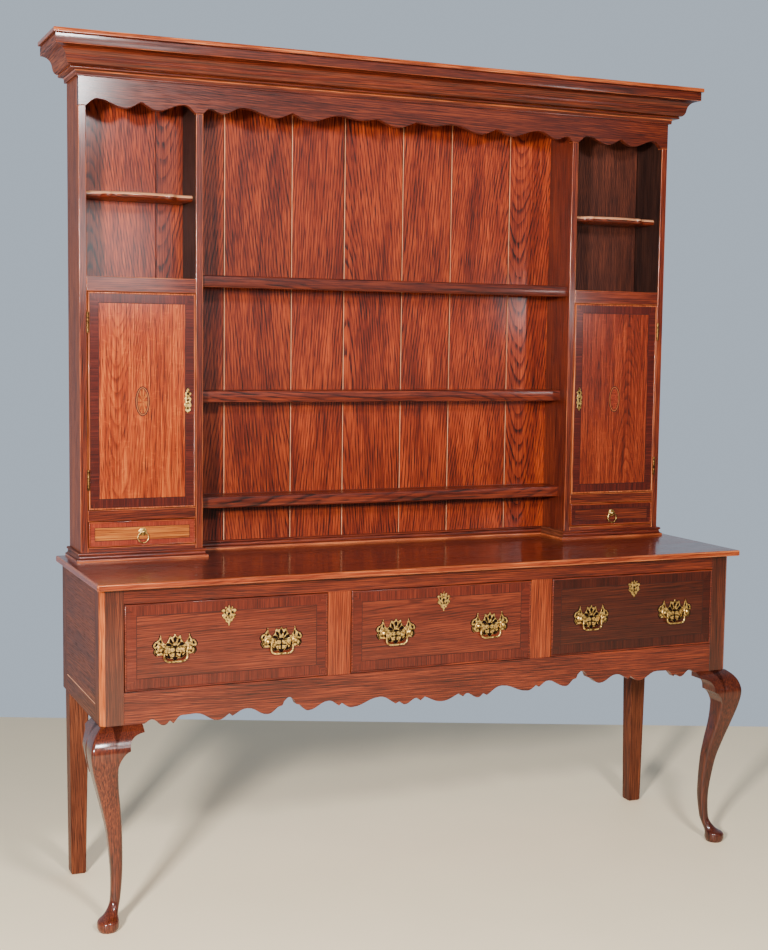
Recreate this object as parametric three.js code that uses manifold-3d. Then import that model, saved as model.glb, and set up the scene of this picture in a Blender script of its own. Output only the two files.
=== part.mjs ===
// A welsh dresser in two parts. The base has three drawers over a scalloped apron and stands on
// cabriole legs. The rack has plate shelves between two piers, and each pier holds open
// compartments, a cupboard and a small drawer.
// Lengths are millimetres. X runs to the right, Y to the back and Z up, so the front faces -Y.
// While the pieces are made, X is zero on the middle line and Y is zero on the rear plane.

import * as THREE from 'three';
import { mergeVertices } from 'three/addons/utils/BufferGeometryUtils.js';
import Module from 'manifold-3d';

const wasm = await Module();
wasm.setup();

// Sizes of the base
const CASE = { width: 1780, depth: 441, rearSetback: 27, cornerCant: 12 };
const TOP_BOARD = { thickness: 16, sideOverhang: 12, frontOverhang: 31, edgeRound: 2.5 };
const LEG = { height: 496, stock: 57, kneeOutwards: 24.5, kneeForwards: 36.5 };
const EAR = { reach: 101, drop: 111, thickness: 22, overrun: 60 };
const REAR_LEG = { stock: 51, foot: 39, outerTaper: 3.5, arris: 2 };
const END_BOARD = { thickness: 18, jointUp: 45, jointWidth: 3, jointDepth: 2 };
const BASE_BACK = { thickness: 12, footUp: 44 };
const TOP_RAIL = { height: 38, thickness: 22 };
const APRON = { height: 79, dip: 14, scallop: 50 };
const DIVIDER = { width: 62 };
const RUNNER = { thickness: 22, bearing: 15, guide: 25, kickerThickness: 20, kickerGap: 2 };

// Sizes of the base drawers
const DRAWER = { opening: 211, frontThickness: 20, rearGap: 21, headroom: 16.5 };
const DRAWER_BOX = { side: 11, bottom: 8, floorUp: 6 };
const BEAD = { width: 4, proud: 2.5 };

// Sizes of the rack
const RACK = { inset: 25, depth: 140, side: 19, pierClear: 282, topBoard: 18 };
const BACKBOARD = { thickness: 12, jointWidth: 4, jointDepth: 3 };
const FRIEZE = { thickness: 18, height: 157, scallop: 23 };
const CORNICE = { height: 98, projection: 72, stand: 12 };
const PLINTH = { height: 24, projection: 12 };
const PLATE_SHELF = { lip: 31, lipThickness: 16, board: 14, nose: 3, deep: 115, shallow: 86 };
const PLATE_SHELF_UP = { upper: 734, middle: 433, lower: 152 };
const SHAPED_SHELF = { thickness: 16, depth: 96, bow: 24 };
const RAIL = { thickness: 18, board: 14, compartment: 37, cupboard: 28, bottom: 35 };
const PIER_OPENING = { smallDrawer: 68, cupboard: 554, underShelf: 199, overShelf: 204 };
const SMALL_DRAWER = { frontThickness: 14, rearGap: 6, headroom: 13.5, side: 8, bottom: 6, floorUp: 3 };
const DOOR = { thickness: 20, hingeGap: 2 };

// Sizes of the brass
const HINGE = { length: 52, radius: 3.5, leaf: 1.2, leafDepth: 18, stand: 4, inset: 52, clearance: 0.6 };
const PLATE = { halfWidth: 53, halfHeight: 31, thickness: 2, spacing: 268, below: 3.5 };
const POST = { radius: 5.2, collar: 7, collarHeight: 2.5, length: 12.5, spread: 36, drop: 3, bore: 6.5 };
const BAIL = { wire: 2.4, halfWidth: 28, drop: 31, pin: 6, bend: 3.5, corner: 11 };
const RING = {
  radius: 14, wire: 1.7, postRadius: 4.7, postLength: 8.5, bore: 4.6, boreRadius: 2.9, above: 3,
};

// Clearances, and how far a piece runs into the one it is joined to
const FIT = { drawer: 1.5, door: 1.5, slide: 0.5, bore: 0.4 };
const JOINT = { lap: 2, tenon: 3 };

// Faces on each round stretch
const FACES = {
  corner: 4, legStep: 2, curve: 4, post: 10, bore: 8, barrel: 12, wire: 8, bail: 25, ring: 20,
};

// Down a cabriole leg: height, outwards, forwards, half girth and corner round, as shares
const LEG_SHARES = [
  [1.00, 0.00, 0.00, 1.00, 0.10],
  [0.976, 0.45, 0.45, 1.09, 0.14],
  [0.94, 0.80, 0.79, 1.16, 0.19],
  [0.887, 1.00, 1.00, 1.17, 0.24],
  [0.81, 0.92, 0.94, 1.07, 0.30],
  [0.706, 0.58, 0.72, 0.90, 0.38],
  [0.585, 0.07, 0.38, 0.76, 0.46],
  [0.464, -0.33, 0.11, 0.63, 0.56],
  [0.282, -0.59, -0.07, 0.51, 0.75],
  [0.151, -0.47, 0.01, 0.44, 0.90],
  [0.105, -0.25, 0.15, 0.45, 0.94],
  [0.07, 0.12, 0.38, 0.61, 0.94],
  [0.05, 0.42, 0.61, 0.88, 0.94],
  [0.02, 0.45, 0.63, 0.92, 0.94],
  [0.00, 0.45, 0.63, 0.78, 0.94],
];

// Lower edge of a knee bracket, as shares of its reach and drop
const EAR_SHARES = {
  tip: [1, 0.13], hollow: [0.66, 0.16], stepTop: [0.63, 0.36], stepFoot: [0.62, 0.47],
  sweep: [0.36, 0.56], heel: [0.30, 1],
};

// Scalloped edges from the middle outwards: reach share, height share, and true at a sharp point
const APRON_SHARES = [
  [0, 0, false], [0.059, 0.33, true], [0.073, 0.14, true], [0.087, 0.30, false],
  [0.126, 0.02, false], [0.144, 0.21, true], [0.157, 0.10, true], [0.21, 0.53, false],
  [0.303, 0.13, false], [0.335, 0.40, true], [0.344, 0.27, true], [0.378, 0.57, false],
  [0.443, 0.18, false], [0.469, 0.50, true], [0.482, 0.56, true], [0.487, 0.76, true],
  [0.503, 0.94, false], [0.519, 0.76, true], [0.524, 0.56, true], [0.537, 0.50, true],
  [0.571, 0.18, false], [0.633, 0.57, false], [0.68, 0.26, true], [0.688, 0.40, true],
  [0.722, 0.12, false], [0.79, 0.55, false], [0.83, 0.53, false], [0.857, 0.16, true],
  [0.866, 0.32, true], [0.885, 0.11, false], [0.92, 0.45, false], [0.941, 0.28, true],
];
const FRIEZE_CENTRE_SHARES = [
  [0, 0.17, false], [0.105, 0.91, true], [0.202, 0.65, false], [0.303, 0.96, false],
  [0.462, 0.13, false], [0.555, 0.83, true], [0.642, 0.17, false], [0.80, 1, false],
  [0.905, 0.17, false], [0.967, 0.57, false], [1, 0, true],
];
const FRIEZE_PIER_SHARES = [[0, 0.76, true], [0.30, 0, false], [0.79, 0.8, false], [1, 0, true]];
const SHAPED_SHELF_SHARES = [
  [0, 1, false], [0.50, 0.62, true], [0.56, 0.74, false], [0.70, 0.10, true], [0.76, 0, true],
  [1, 0, true],
];

// How far the curve at a station holds its heading, as a share of the way to the next
const HEADING_SHARE = 0.42;

// Joints between the backboards, as shares of half the clear width
const BOARD_JOINT_SHARES = [-0.75, -0.531, -0.305, -0.122, 0.086, 0.265, 0.487, 0.745];

// Cornice and plinth sections, as shares of projection and height
const CORNICE_SHARES = {
  foot: [0.09, 0], footTop: [0.10, 0.10], soffit: [0.13, 0.125], beadFoot: [0.25, 0.13],
  bead: [0.34, 0.165], beadTop: [0.27, 0.20], swellFoot: [0.33, 0.205], swell: [0.47, 0.21],
  turn: [0.51, 0.38], hollow: [0.55, 0.61], hollowTop: [0.86, 0.64], fascia: [0.92, 0.645],
  fasciaTop: [0.92, 0.865], quirk: [0.895, 0.885], fillet: [1, 0.89], filletTop: [1, 1],
};
const PLINTH_SHARES = {
  foot: [1, 0], fillet: [1, 0.26], hollow: [0.42, 0.32], beadFoot: [0.42, 0.68],
  bead: [0.78, 0.84], beadTop: [0.42, 1],
};

// Outline and piercings of a willow plate, as shares of its half width and half height
const PLATE_EDGE_SHARES = [
  [0, 1], [0.10, 0.76], [0.25, 0.86], [0.32, 0.46], [0.46, 0.22], [0.60, 0.50], [0.66, 0.98],
  [0.75, 0.58], [0.92, 0.42], [1, 0.12], [0.90, -0.10], [0.96, -0.30], [0.84, -0.64],
  [0.66, -0.40], [0.52, -0.62], [0.30, -0.90], [0.14, -0.84], [0.07, -1.04], [0, -1.22],
];
const PLATE_PIERCING_SHARES = [
  [[0, 0.84], [0.07, 0.62], [0, 0.36], [-0.07, 0.62]],
  [[0.22, 0.66], [0.24, 0.46], [0.08, 0.20], [0.11, 0.44]],
  [[0.14, 0.10], [0.34, 0.24], [0.40, 0.02], [0.22, -0.04]],
  [[0.05, -0.12], [0.15, -0.14], [0.15, -0.42], [0.05, -0.40]],
  [[0.24, -0.18], [0.42, -0.12], [0.40, -0.44], [0.25, -0.44]],
  [[0.05, -0.54], [0.24, -0.56], [0.18, -0.72], [0.06, -0.72]],
  [[0.82, 0.10], [0.90, 0.16], [0.92, 0.30], [0.80, 0.30]],
];

// Finishes
const FINISH = {
  case: { color: 0x7c3520, roughness: 0.34, metalness: 0 },
  bright: { color: 0xa04e24, roughness: 0.34, metalness: 0 },
  dark: { color: 0x5d2418, roughness: 0.36, metalness: 0 },
  inner: { color: 0x9a7048, roughness: 0.75, metalness: 0 },
  brass: { color: 0xc8a45c, roughness: 0.32, metalness: 1 },
};

// Places that follow from the sizes
const caseHalf = CASE.width / 2;
const caseBottom = LEG.height;
const apronTop = caseBottom + APRON.height;
const railBottom = apronTop + DRAWER.opening;
const caseTop = railBottom + TOP_RAIL.height;
const apronBottom = caseBottom - APRON.dip;
const drawerBoxBottom = apronTop + FIT.slide;
const drawerBoxTop = railBottom - DRAWER.headroom;
const caseRear = -CASE.rearSetback;
const caseFront = caseRear - CASE.depth;
const postInner = caseHalf - LEG.stock;
const boardSurface = caseTop + TOP_BOARD.thickness;
const railRear = caseFront + TOP_RAIL.thickness;
const backFront = caseRear - BASE_BACK.thickness;
const drawerOpening = (2 * postInner - 2 * DIVIDER.width) / 3;
const drawerPitch = drawerOpening + DIVIDER.width;
const rackHalf = caseHalf - RACK.inset;
const rackFront = -RACK.depth;
const pierOuter = rackHalf - RACK.side;
const pierInner = pierOuter - RACK.pierClear;
const pierMiddle = (pierOuter + pierInner) / 2;
const centreHalf = pierInner - RACK.side;
const boardsFront = -BACKBOARD.thickness;
const friezeRear = rackFront + FRIEZE.thickness;
const bottomRailTop = boardSurface + RAIL.bottom;
const cupboardRailTop = bottomRailTop + PIER_OPENING.smallDrawer + RAIL.cupboard;
const doorTop = cupboardRailTop + PIER_OPENING.cupboard;
const compartmentRailTop = doorTop + RAIL.compartment;
const shapedShelfUnder = compartmentRailTop + PIER_OPENING.underShelf;
const friezeBottom = shapedShelfUnder + SHAPED_SHELF.thickness + PIER_OPENING.overShelf;
const rackTop = friezeBottom + FRIEZE.height;
const topBoardUnder = rackTop - RACK.topBoard;
const hingeAxisX = pierOuter - HINGE.leaf / 2;
const hingeAxisY = rackFront - HINGE.stand;

// Geometry helpers

function box(x0, x1, y0, y1, z0, z1) {
  const block = new THREE.BoxGeometry(x1 - x0, y1 - y0, z1 - z0);
  return block.translate((x0 + x1) / 2, (y0 + y1) / 2, (z0 + z1) / 2);
}

function extruded(shape, length) {
  const options = { depth: length, bevelEnabled: false, curveSegments: FACES.curve };
  return new THREE.ExtrudeGeometry(shape, options);
}

// The shape is drawn in Y and Z and runs along X
function alongX(shape, x0, x1) {
  const turn = new THREE.Matrix4().makeBasis(
    new THREE.Vector3(0, 1, 0), new THREE.Vector3(0, 0, 1), new THREE.Vector3(1, 0, 0));
  return extruded(shape, x1 - x0).applyMatrix4(turn).translate(x0, 0, 0);
}

// The shape is drawn in X and Z and runs along Y
function alongY(shape, y0, y1) {
  const turn = new THREE.Matrix4().makeBasis(
    new THREE.Vector3(1, 0, 0), new THREE.Vector3(0, 0, 1), new THREE.Vector3(0, -1, 0));
  return extruded(shape, y1 - y0).applyMatrix4(turn).translate(0, y1, 0);
}

// The shape is drawn in X and Y and runs along Z
function alongZ(shape, z0, z1) {
  return extruded(shape, z1 - z0).translate(0, 0, z0);
}

// An outline that always turns left, as a shape with piercings has to
function polygon(points) {
  const outline = points.map(([x, y]) => new THREE.Vector2(x, y));
  return new THREE.Shape(THREE.ShapeUtils.isClockWise(outline) ? outline.reverse() : outline);
}

function rectangle(x0, x1, y0, y1) {
  return polygon([[x0, y0], [x1, y0], [x1, y1], [x0, y1]]);
}

// A geometry moved by a matrix, with its faces still pointing out after a mirror
function placed(geometry, matrix) {
  const copy = geometry.index ? geometry.toNonIndexed() : geometry.clone();
  copy.applyMatrix4(matrix);
  if (matrix.determinant() < 0) {
    const place = copy.attributes.position;
    for (let corner = 0; corner < place.count; corner += 3) {
      const first = new THREE.Vector3().fromBufferAttribute(place, corner);
      const last = new THREE.Vector3().fromBufferAttribute(place, corner + 2);
      place.setXYZ(corner, last.x, last.y, last.z);
      place.setXYZ(corner + 2, first.x, first.y, first.z);
    }
  }
  return positionsOnly(copy);
}

function positionsOnly(geometry) {
  const bare = new THREE.BufferGeometry();
  bare.setAttribute('position', geometry.attributes.position.clone());
  if (geometry.index) bare.setIndex(geometry.index.clone());
  return bare;
}

function mirrored(geometry) {
  return placed(geometry, new THREE.Matrix4().makeScale(-1, 1, 1));
}

function moved(geometry, x, y, z) {
  return geometry.clone().translate(x, y, z);
}

// A skin with its corners shared and no face left without an area
function welded(geometry) {
  const skin = mergeVertices(positionsOnly(geometry));
  const corners = skin.index.array;
  const faces = [];
  for (let place = 0; place < corners.length; place += 3) {
    const [a, b, c] = corners.slice(place, place + 3);
    if (a !== b && b !== c && c !== a) faces.push(a, b, c);
  }
  return skin.setIndex(faces);
}

// Solids for joining and cutting
function solid(geometry) {
  const skin = welded(geometry);
  return new wasm.Manifold(new wasm.Mesh({
    numProp: 3,
    vertProperties: new Float32Array(skin.attributes.position.array),
    triVerts: new Uint32Array(skin.index.array),
  }));
}

function surface(manifold) {
  const mesh = manifold.getMesh();
  const geometry = new THREE.BufferGeometry();
  geometry.setAttribute('position', new THREE.BufferAttribute(new Float32Array(mesh.vertProperties), 3));
  geometry.setIndex(new THREE.BufferAttribute(new Uint32Array(mesh.triVerts), 1));
  return geometry;
}

function joined(...geometries) {
  const [first, ...rest] = geometries.map(solid);
  return surface(rest.reduce((whole, piece) => whole.add(piece), first));
}

function cut(geometry, ...tools) {
  return surface(tools.map(solid).reduce((whole, tool) => whole.subtract(tool), solid(geometry)));
}

function common(first, second) {
  return surface(solid(first).intersect(solid(second)));
}

// Rings of points joined into a closed skin, from the lowest ring up, each turning left
function lofted(rings) {
  const sides = rings[0].length;
  const points = rings.flat();
  const faces = [];
  for (let level = 0; level < rings.length - 1; level += 1) {
    for (let side = 0; side < sides; side += 1) {
      const next = (side + 1) % sides;
      const low = level * sides;
      const high = low + sides;
      faces.push(low + side, low + next, high + next, low + side, high + next, high + side);
    }
  }
  const last = (rings.length - 1) * sides;
  for (let side = 1; side < sides - 1; side += 1) {
    faces.push(0, side + 1, side, last, last + side, last + side + 1);
  }
  const geometry = new THREE.BufferGeometry().setFromPoints(points);
  geometry.setIndex(faces);
  return geometry;
}

// A square of a given half girth with round corners, level at height z
function roundedSquare(x, y, z, half, round) {
  const ring = [];
  const flat = half - round;
  for (let corner = 0; corner < 4; corner += 1) {
    const start = corner * Math.PI / 2;
    const signX = Math.sign(Math.cos(start + Math.PI / 4));
    const signY = Math.sign(Math.sin(start + Math.PI / 4));
    for (let step = 0; step <= FACES.corner; step += 1) {
      const angle = start + step / FACES.corner * Math.PI / 2;
      ring.push(new THREE.Vector3(
        x + signX * flat + round * Math.cos(angle), y + signY * flat + round * Math.sin(angle), z));
    }
  }
  return ring;
}

// Scallops through stations from the middle out: smooth at crests and lobes, sharp at points
function scallop(path, stations, forwards) {
  const order = forwards ? stations : [...stations].reverse();
  for (let place = 1; place < order.length; place += 1) {
    const [x0, z0, sharp0] = order[place - 1];
    const [x1, z1, sharp1] = order[place];
    const reach = HEADING_SHARE * (x1 - x0);
    const rise0 = sharp0 ? (z1 - z0) / 2 : 0;
    const rise1 = sharp1 ? (z1 - z0) / 2 : 0;
    path.bezierCurveTo(x0 + reach, z0 + rise0, x1 - reach, z1 - rise1, x1, z1);
  }
}

function stationsFrom(shares, middle, half, low, height, side) {
  return shares.map(([reach, rise, sharp]) => [middle + side * reach * half, low + rise * height, sharp]);
}

// A whole scalloped edge, from left to right, mirrored about its middle
function scallopedEdge(path, shares, middle, half, low, height) {
  const left = stationsFrom(shares, middle, half, low, height, -1);
  const [startX, startZ] = left[left.length - 1];
  path.lineTo(startX, startZ);
  scallop(path, left, false);
  scallop(path, stationsFrom(shares, middle, half, low, height, 1), true);
}

// A moulding section run round a path of corners, mitred, with the section on the right hand side
function mitredRun(section, path, bottom) {
  const headings = path.slice(1).map((place, leg) => place.clone().sub(path[leg]).normalize());
  const normals = headings.map((heading) => new THREE.Vector2(heading.y, -heading.x));
  const rings = path.map((place, corner) => {
    const before = normals[Math.max(corner - 1, 0)];
    const after = normals[Math.min(corner, normals.length - 1)];
    const mitre = before.clone().add(after).divideScalar(1 + before.dot(after));
    return section.map(({ x: out, y: up }) => (
      new THREE.Vector3(place.x + out * mitre.x, place.y + out * mitre.y, bottom + up)));
  });
  const faces = [];
  const count = section.length;
  for (let leg = 0; leg < rings.length - 1; leg += 1) {
    for (let point = 0; point < count; point += 1) {
      const next = (point + 1) % count;
      const near = leg * count;
      const far = near + count;
      faces.push(near + point, far + next, near + next, near + point, far + point, far + next);
    }
  }
  const last = (rings.length - 1) * count;
  for (const [a, b, c] of THREE.ShapeUtils.triangulateShape(section, [])) {
    faces.push(a, b, c, last + a, last + c, last + b);
  }
  const geometry = new THREE.BufferGeometry().setFromPoints(rings.flat());
  geometry.setIndex(faces);
  return geometry;
}

// A board in X, Y and Z with a small round along its four upper and lower edges
function roundEdgedBoard(x0, x1, y0, y1, z0, z1, round) {
  const shape = rectangle(x0 + round, x1 - round, y0 + round, y1 - round);
  const options = {
    depth: z1 - z0 - 2 * round, bevelThickness: round, bevelSize: round, bevelSegments: 2,
  };
  return new THREE.ExtrudeGeometry(shape, options).translate(0, 0, z0 + round);
}

// Base

function legRings() {
  const height = caseBottom;
  const half = LEG.stock / 2;
  const curve = (column) => new THREE.SplineCurve(
    LEG_SHARES.map((shares) => new THREE.Vector2(shares[column], shares[0])));
  const [outwards, forwards, girth, round] = [1, 2, 3, 4].map(curve);
  const steps = (LEG_SHARES.length - 1) * FACES.legStep;
  const rings = [];
  for (let step = 0; step <= steps; step += 1) {
    const way = step / steps;
    const grown = girth.getPoint(way).x * half;
    rings.push({
      z: outwards.getPoint(way).y * height,
      out: outwards.getPoint(way).x * LEG.kneeOutwards,
      forward: forwards.getPoint(way).x * LEG.kneeForwards,
      half: grown,
      round: round.getPoint(way).x * grown,
    });
  }
  return rings;
}

// A knee bracket in its own frame: X runs along the bracket from the case corner, Y out of the
// case, and Z up. Its face carries on the swell of the knee.
function kneeBracket(rings, throwOf) {
  const foot = caseBottom - EAR.drop;
  const point = ([reach, drop]) => [reach * EAR.reach, caseBottom - drop * EAR.drop];
  const edge = new THREE.Shape();
  edge.moveTo(LEG.stock / 2, caseBottom);
  edge.lineTo(LEG.stock / 2, foot);
  edge.lineTo(...point(EAR_SHARES.heel));
  edge.quadraticCurveTo(...point(EAR_SHARES.sweep), ...point(EAR_SHARES.stepFoot));
  edge.lineTo(...point(EAR_SHARES.stepTop));
  edge.quadraticCurveTo(...point(EAR_SHARES.hollow), ...point(EAR_SHARES.tip));
  edge.lineTo(EAR.reach, caseBottom);
  const swell = rings.filter((ring) => ring.z > foot - EAR.thickness)
    .map((ring) => [throwOf(ring) + ring.half - LEG.stock / 2, ring.z]);
  const lowest = swell[swell.length - 1][1];
  const face = polygon([...swell, [-EAR.thickness, lowest], [-EAR.thickness, caseBottom]]);
  return common(alongY(edge, -EAR.overrun, EAR.overrun), alongX(face, LEG.stock / 2, EAR.reach));
}

function frontLeg() {
  const rings = legRings();
  const x = caseHalf - LEG.stock / 2;
  const y = caseFront + LEG.stock / 2;
  const ringAt = (ring, z) => roundedSquare(x + ring.out, y - ring.forward, z, ring.half, ring.round);
  const tenon = ringAt(rings[0], rings[0].z + JOINT.tenon);
  const leg = lofted([tenon, ...rings.map((ring) => ringAt(ring, ring.z))].reverse());
  const post = polygon([
    [postInner, caseFront], [caseHalf - CASE.cornerCant, caseFront],
    [caseHalf, caseFront + CASE.cornerCant], [caseHalf, caseFront + LEG.stock],
    [postInner, caseFront + LEG.stock],
  ]);
  const frontFrame = new THREE.Matrix4().set(
    -1, 0, 0, caseHalf, 0, -1, 0, caseFront, 0, 0, 1, 0, 0, 0, 0, 1);
  const sideFrame = new THREE.Matrix4().set(
    0, 1, 0, caseHalf, 1, 0, 0, caseFront, 0, 0, 1, 0, 0, 0, 0, 1);
  const frontBracket = placed(kneeBracket(rings, (ring) => ring.forward), frontFrame);
  const sideBracket = placed(kneeBracket(rings, (ring) => ring.out), sideFrame);
  return joined(alongZ(post, caseBottom, caseTop), leg, frontBracket, sideBracket);
}

// A post as wide as the front one, on a leg that stands in a little and tapers to the floor
function rearLeg() {
  const outer = caseHalf - LEG.stock + REAR_LEG.stock;
  const ring = (z, stock, taper) => roundedSquare(
    outer - taper - stock / 2, caseRear - taper - stock / 2, z, stock / 2, REAR_LEG.arris);
  const leg = lofted([
    ring(0, REAR_LEG.foot, REAR_LEG.outerTaper), ring(caseBottom, REAR_LEG.stock, 0),
    ring(caseBottom + JOINT.tenon, REAR_LEG.stock, 0),
  ]);
  const post = box(postInner, caseHalf, caseRear - REAR_LEG.stock, caseRear, caseBottom, caseTop);
  return joined(leg, post);
}

// Runner, guide and kicker for one edge of a drawer, from x0 to x1 with the drawer edge at x2
function runnerAndKicker(x0, x1, guideX0, guideX1, y0, y1) {
  const kickerBottom = drawerBoxTop + RUNNER.kickerGap;
  return [
    box(x0, x1, y0, y1, apronTop - RUNNER.thickness, apronTop),
    box(guideX0, guideX1, y0, y1, apronTop - RUNNER.thickness, apronTop + RUNNER.guide),
    box(x0, x1, y0, y1, kickerBottom, kickerBottom + RUNNER.kickerThickness),
  ];
}

function endBoard() {
  const inner = caseHalf - END_BOARD.thickness;
  const half = END_BOARD.jointWidth / 2;
  const jointHeight = caseBottom + END_BOARD.jointUp;
  const y0 = caseFront + LEG.stock;
  const y1 = caseRear - REAR_LEG.stock;
  const section = polygon([
    [inner, caseBottom], [caseHalf, caseBottom], [caseHalf, jointHeight - half],
    [caseHalf - END_BOARD.jointDepth, jointHeight], [caseHalf, jointHeight + half],
    [caseHalf, caseTop], [inner, caseTop],
  ]);
  const lap = END_BOARD.thickness / 2;
  const strips = runnerAndKicker(
    postInner - RUNNER.bearing, inner + lap, postInner, inner + lap, y0, y1);
  return joined(alongY(section, y0, y1), ...strips);
}

function divider() {
  const x0 = drawerOpening / 2;
  const x1 = x0 + DIVIDER.width;
  const upright = box(x0, x1, caseFront, railRear, apronTop, railBottom);
  const strips = runnerAndKicker(x0 - RUNNER.bearing, x1 + RUNNER.bearing, x0, x1, railRear, backFront);
  const lap = (z0, z1) => box(x0, x1, railRear - JOINT.lap, railRear + JOINT.lap, z0, z1);
  return joined(
    upright, ...strips, lap(apronTop, apronTop + RUNNER.guide),
    lap(drawerBoxTop + RUNNER.kickerGap, railBottom));
}

function apron() {
  const shape = new THREE.Shape();
  shape.moveTo(postInner, apronTop);
  shape.lineTo(-postInner, apronTop);
  shape.lineTo(-postInner, caseBottom);
  scallopedEdge(shape, APRON_SHARES, 0, postInner, apronBottom, APRON.scallop);
  shape.lineTo(postInner, caseBottom);
  return alongY(shape, caseFront, railRear);
}

function baseTopBoard() {
  const half = caseHalf + TOP_BOARD.sideOverhang;
  const front = caseFront - TOP_BOARD.frontOverhang;
  return roundEdgedBoard(-half, half, front, 0, caseTop, boardSurface, TOP_BOARD.edgeRound);
}

// A drawer or door front with a thin bead standing proud round its edge
function beadedFront(x0, x1, z0, z1, front, thickness) {
  const panel = box(x0, x1, front, front + thickness, z0, z1);
  const rim = rectangle(x0, x1, z0, z1);
  rim.holes.push(rectangle(x0 + BEAD.width, x1 - BEAD.width, z0 + BEAD.width, z1 - BEAD.width));
  return joined(panel, alongY(rim, front - BEAD.proud, front + JOINT.lap));
}

function openBox(x0, x1, y0, y1, z0, z1, side, bottom, floorUp) {
  const well = box(x0 + side, x1 - side, y0 + side, y1 - side, z0 + floorUp + bottom, z1 + side);
  const under = box(x0 + side, x1 - side, y0 + side, y1 - side, z0 - side, z0 + floorUp);
  return cut(box(x0, x1, y0, y1, z0, z1), well, under);
}

function drawerFront() {
  const half = drawerOpening / 2 - FIT.drawer;
  return beadedFront(
    -half, half, apronTop + FIT.drawer, railBottom - FIT.drawer, caseFront, DRAWER.frontThickness);
}

function drawerBox() {
  const half = drawerOpening / 2 - FIT.drawer;
  return openBox(
    -half, half, caseFront + DRAWER.frontThickness, backFront - DRAWER.rearGap,
    drawerBoxBottom, drawerBoxTop, DRAWER_BOX.side, DRAWER_BOX.bottom, DRAWER_BOX.floorUp);
}

// Rack

// A pier board with the frieze let into its front edge
function pierBoard(x0, x1, rear, top) {
  return alongX(polygon([
    [rackFront, boardSurface], [rear, boardSurface], [rear, top], [friezeRear, top],
    [friezeRear, friezeBottom], [rackFront, friezeBottom],
  ]), x0, x1);
}

function backboards() {
  const points = [[-pierOuter, 0], [-pierOuter, boardsFront]];
  for (const share of BOARD_JOINT_SHARES) {
    const x = share * pierOuter;
    points.push([x - BACKBOARD.jointWidth / 2, boardsFront]);
    points.push([x, boardsFront + BACKBOARD.jointDepth]);
    points.push([x + BACKBOARD.jointWidth / 2, boardsFront]);
  }
  points.push([pierOuter, boardsFront], [pierOuter, 0]);
  return alongZ(polygon(points), boardSurface, topBoardUnder);
}

function frieze() {
  const shape = new THREE.Shape();
  const pier = RACK.pierClear / 2;
  shape.moveTo(rackHalf, rackTop);
  shape.lineTo(-rackHalf, rackTop);
  shape.lineTo(-rackHalf, friezeBottom);
  shape.lineTo(-pierOuter, friezeBottom);
  scallopedEdge(shape, FRIEZE_PIER_SHARES, -pierMiddle, pier, friezeBottom, FRIEZE.scallop);
  shape.lineTo(-centreHalf, friezeBottom);
  scallopedEdge(shape, FRIEZE_CENTRE_SHARES, 0, centreHalf, friezeBottom, FRIEZE.scallop);
  shape.lineTo(pierInner, friezeBottom);
  scallopedEdge(shape, FRIEZE_PIER_SHARES, pierMiddle, pier, friezeBottom, FRIEZE.scallop);
  shape.lineTo(rackHalf, friezeBottom);
  return alongY(shape, rackFront, friezeRear);
}

function corniceSection() {
  const at = (name) => {
    const [out, up] = CORNICE_SHARES[name];
    return [out * CORNICE.projection, up * CORNICE.height];
  };
  const shape = new THREE.Shape();
  shape.moveTo(0, 0);
  shape.lineTo(...at('foot'));
  shape.lineTo(...at('footTop'));
  shape.lineTo(...at('soffit'));
  shape.lineTo(...at('beadFoot'));
  shape.quadraticCurveTo(...at('bead'), ...at('beadTop'));
  shape.lineTo(...at('swellFoot'));
  shape.quadraticCurveTo(...at('swell'), ...at('turn'));
  shape.quadraticCurveTo(...at('hollow'), ...at('hollowTop'));
  shape.lineTo(...at('fascia'));
  shape.lineTo(...at('fasciaTop'));
  shape.lineTo(...at('quirk'));
  shape.lineTo(...at('fillet'));
  shape.lineTo(...at('filletTop'));
  shape.lineTo(0, CORNICE.height);
  return shape.getPoints(FACES.curve);
}

function cornice() {
  const path = [[-rackHalf, 0], [-rackHalf, rackFront], [rackHalf, rackFront], [rackHalf, 0]];
  const bottom = rackTop + CORNICE.stand - CORNICE.height;
  return mitredRun(corniceSection(), path.map(([x, y]) => new THREE.Vector2(x, y)), bottom);
}

function plinthSection() {
  const at = (name) => {
    const [out, up] = PLINTH_SHARES[name];
    return [out * PLINTH.projection, up * PLINTH.height];
  };
  const shape = new THREE.Shape();
  shape.moveTo(0, 0);
  shape.lineTo(...at('foot'));
  shape.lineTo(...at('fillet'));
  shape.quadraticCurveTo(...at('hollow'), ...at('beadFoot'));
  shape.quadraticCurveTo(...at('bead'), ...at('beadTop'));
  shape.lineTo(0, PLINTH.height);
  return shape.getPoints(FACES.curve);
}

// The moulding round the foot of the rack, along the backboards between the piers
function rackBaseMoulding() {
  const path = [
    [-rackHalf, 0], [-rackHalf, rackFront], [-centreHalf, rackFront], [-centreHalf, boardsFront],
    [centreHalf, boardsFront], [centreHalf, rackFront], [rackHalf, rackFront], [rackHalf, 0],
  ];
  return mitredRun(plinthSection(), path.map(([x, y]) => new THREE.Vector2(x, y)), boardSurface);
}

// A board across a pier, with a deeper rail along its front edge
function lippedBoard(top, rail) {
  const rear = rackFront + RAIL.thickness;
  return alongX(polygon([
    [rackFront, top - rail], [rear, top - rail], [rear, top - RAIL.board],
    [boardsFront, top - RAIL.board], [boardsFront, top], [rackFront, top],
  ]), pierInner, pierOuter);
}

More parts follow.
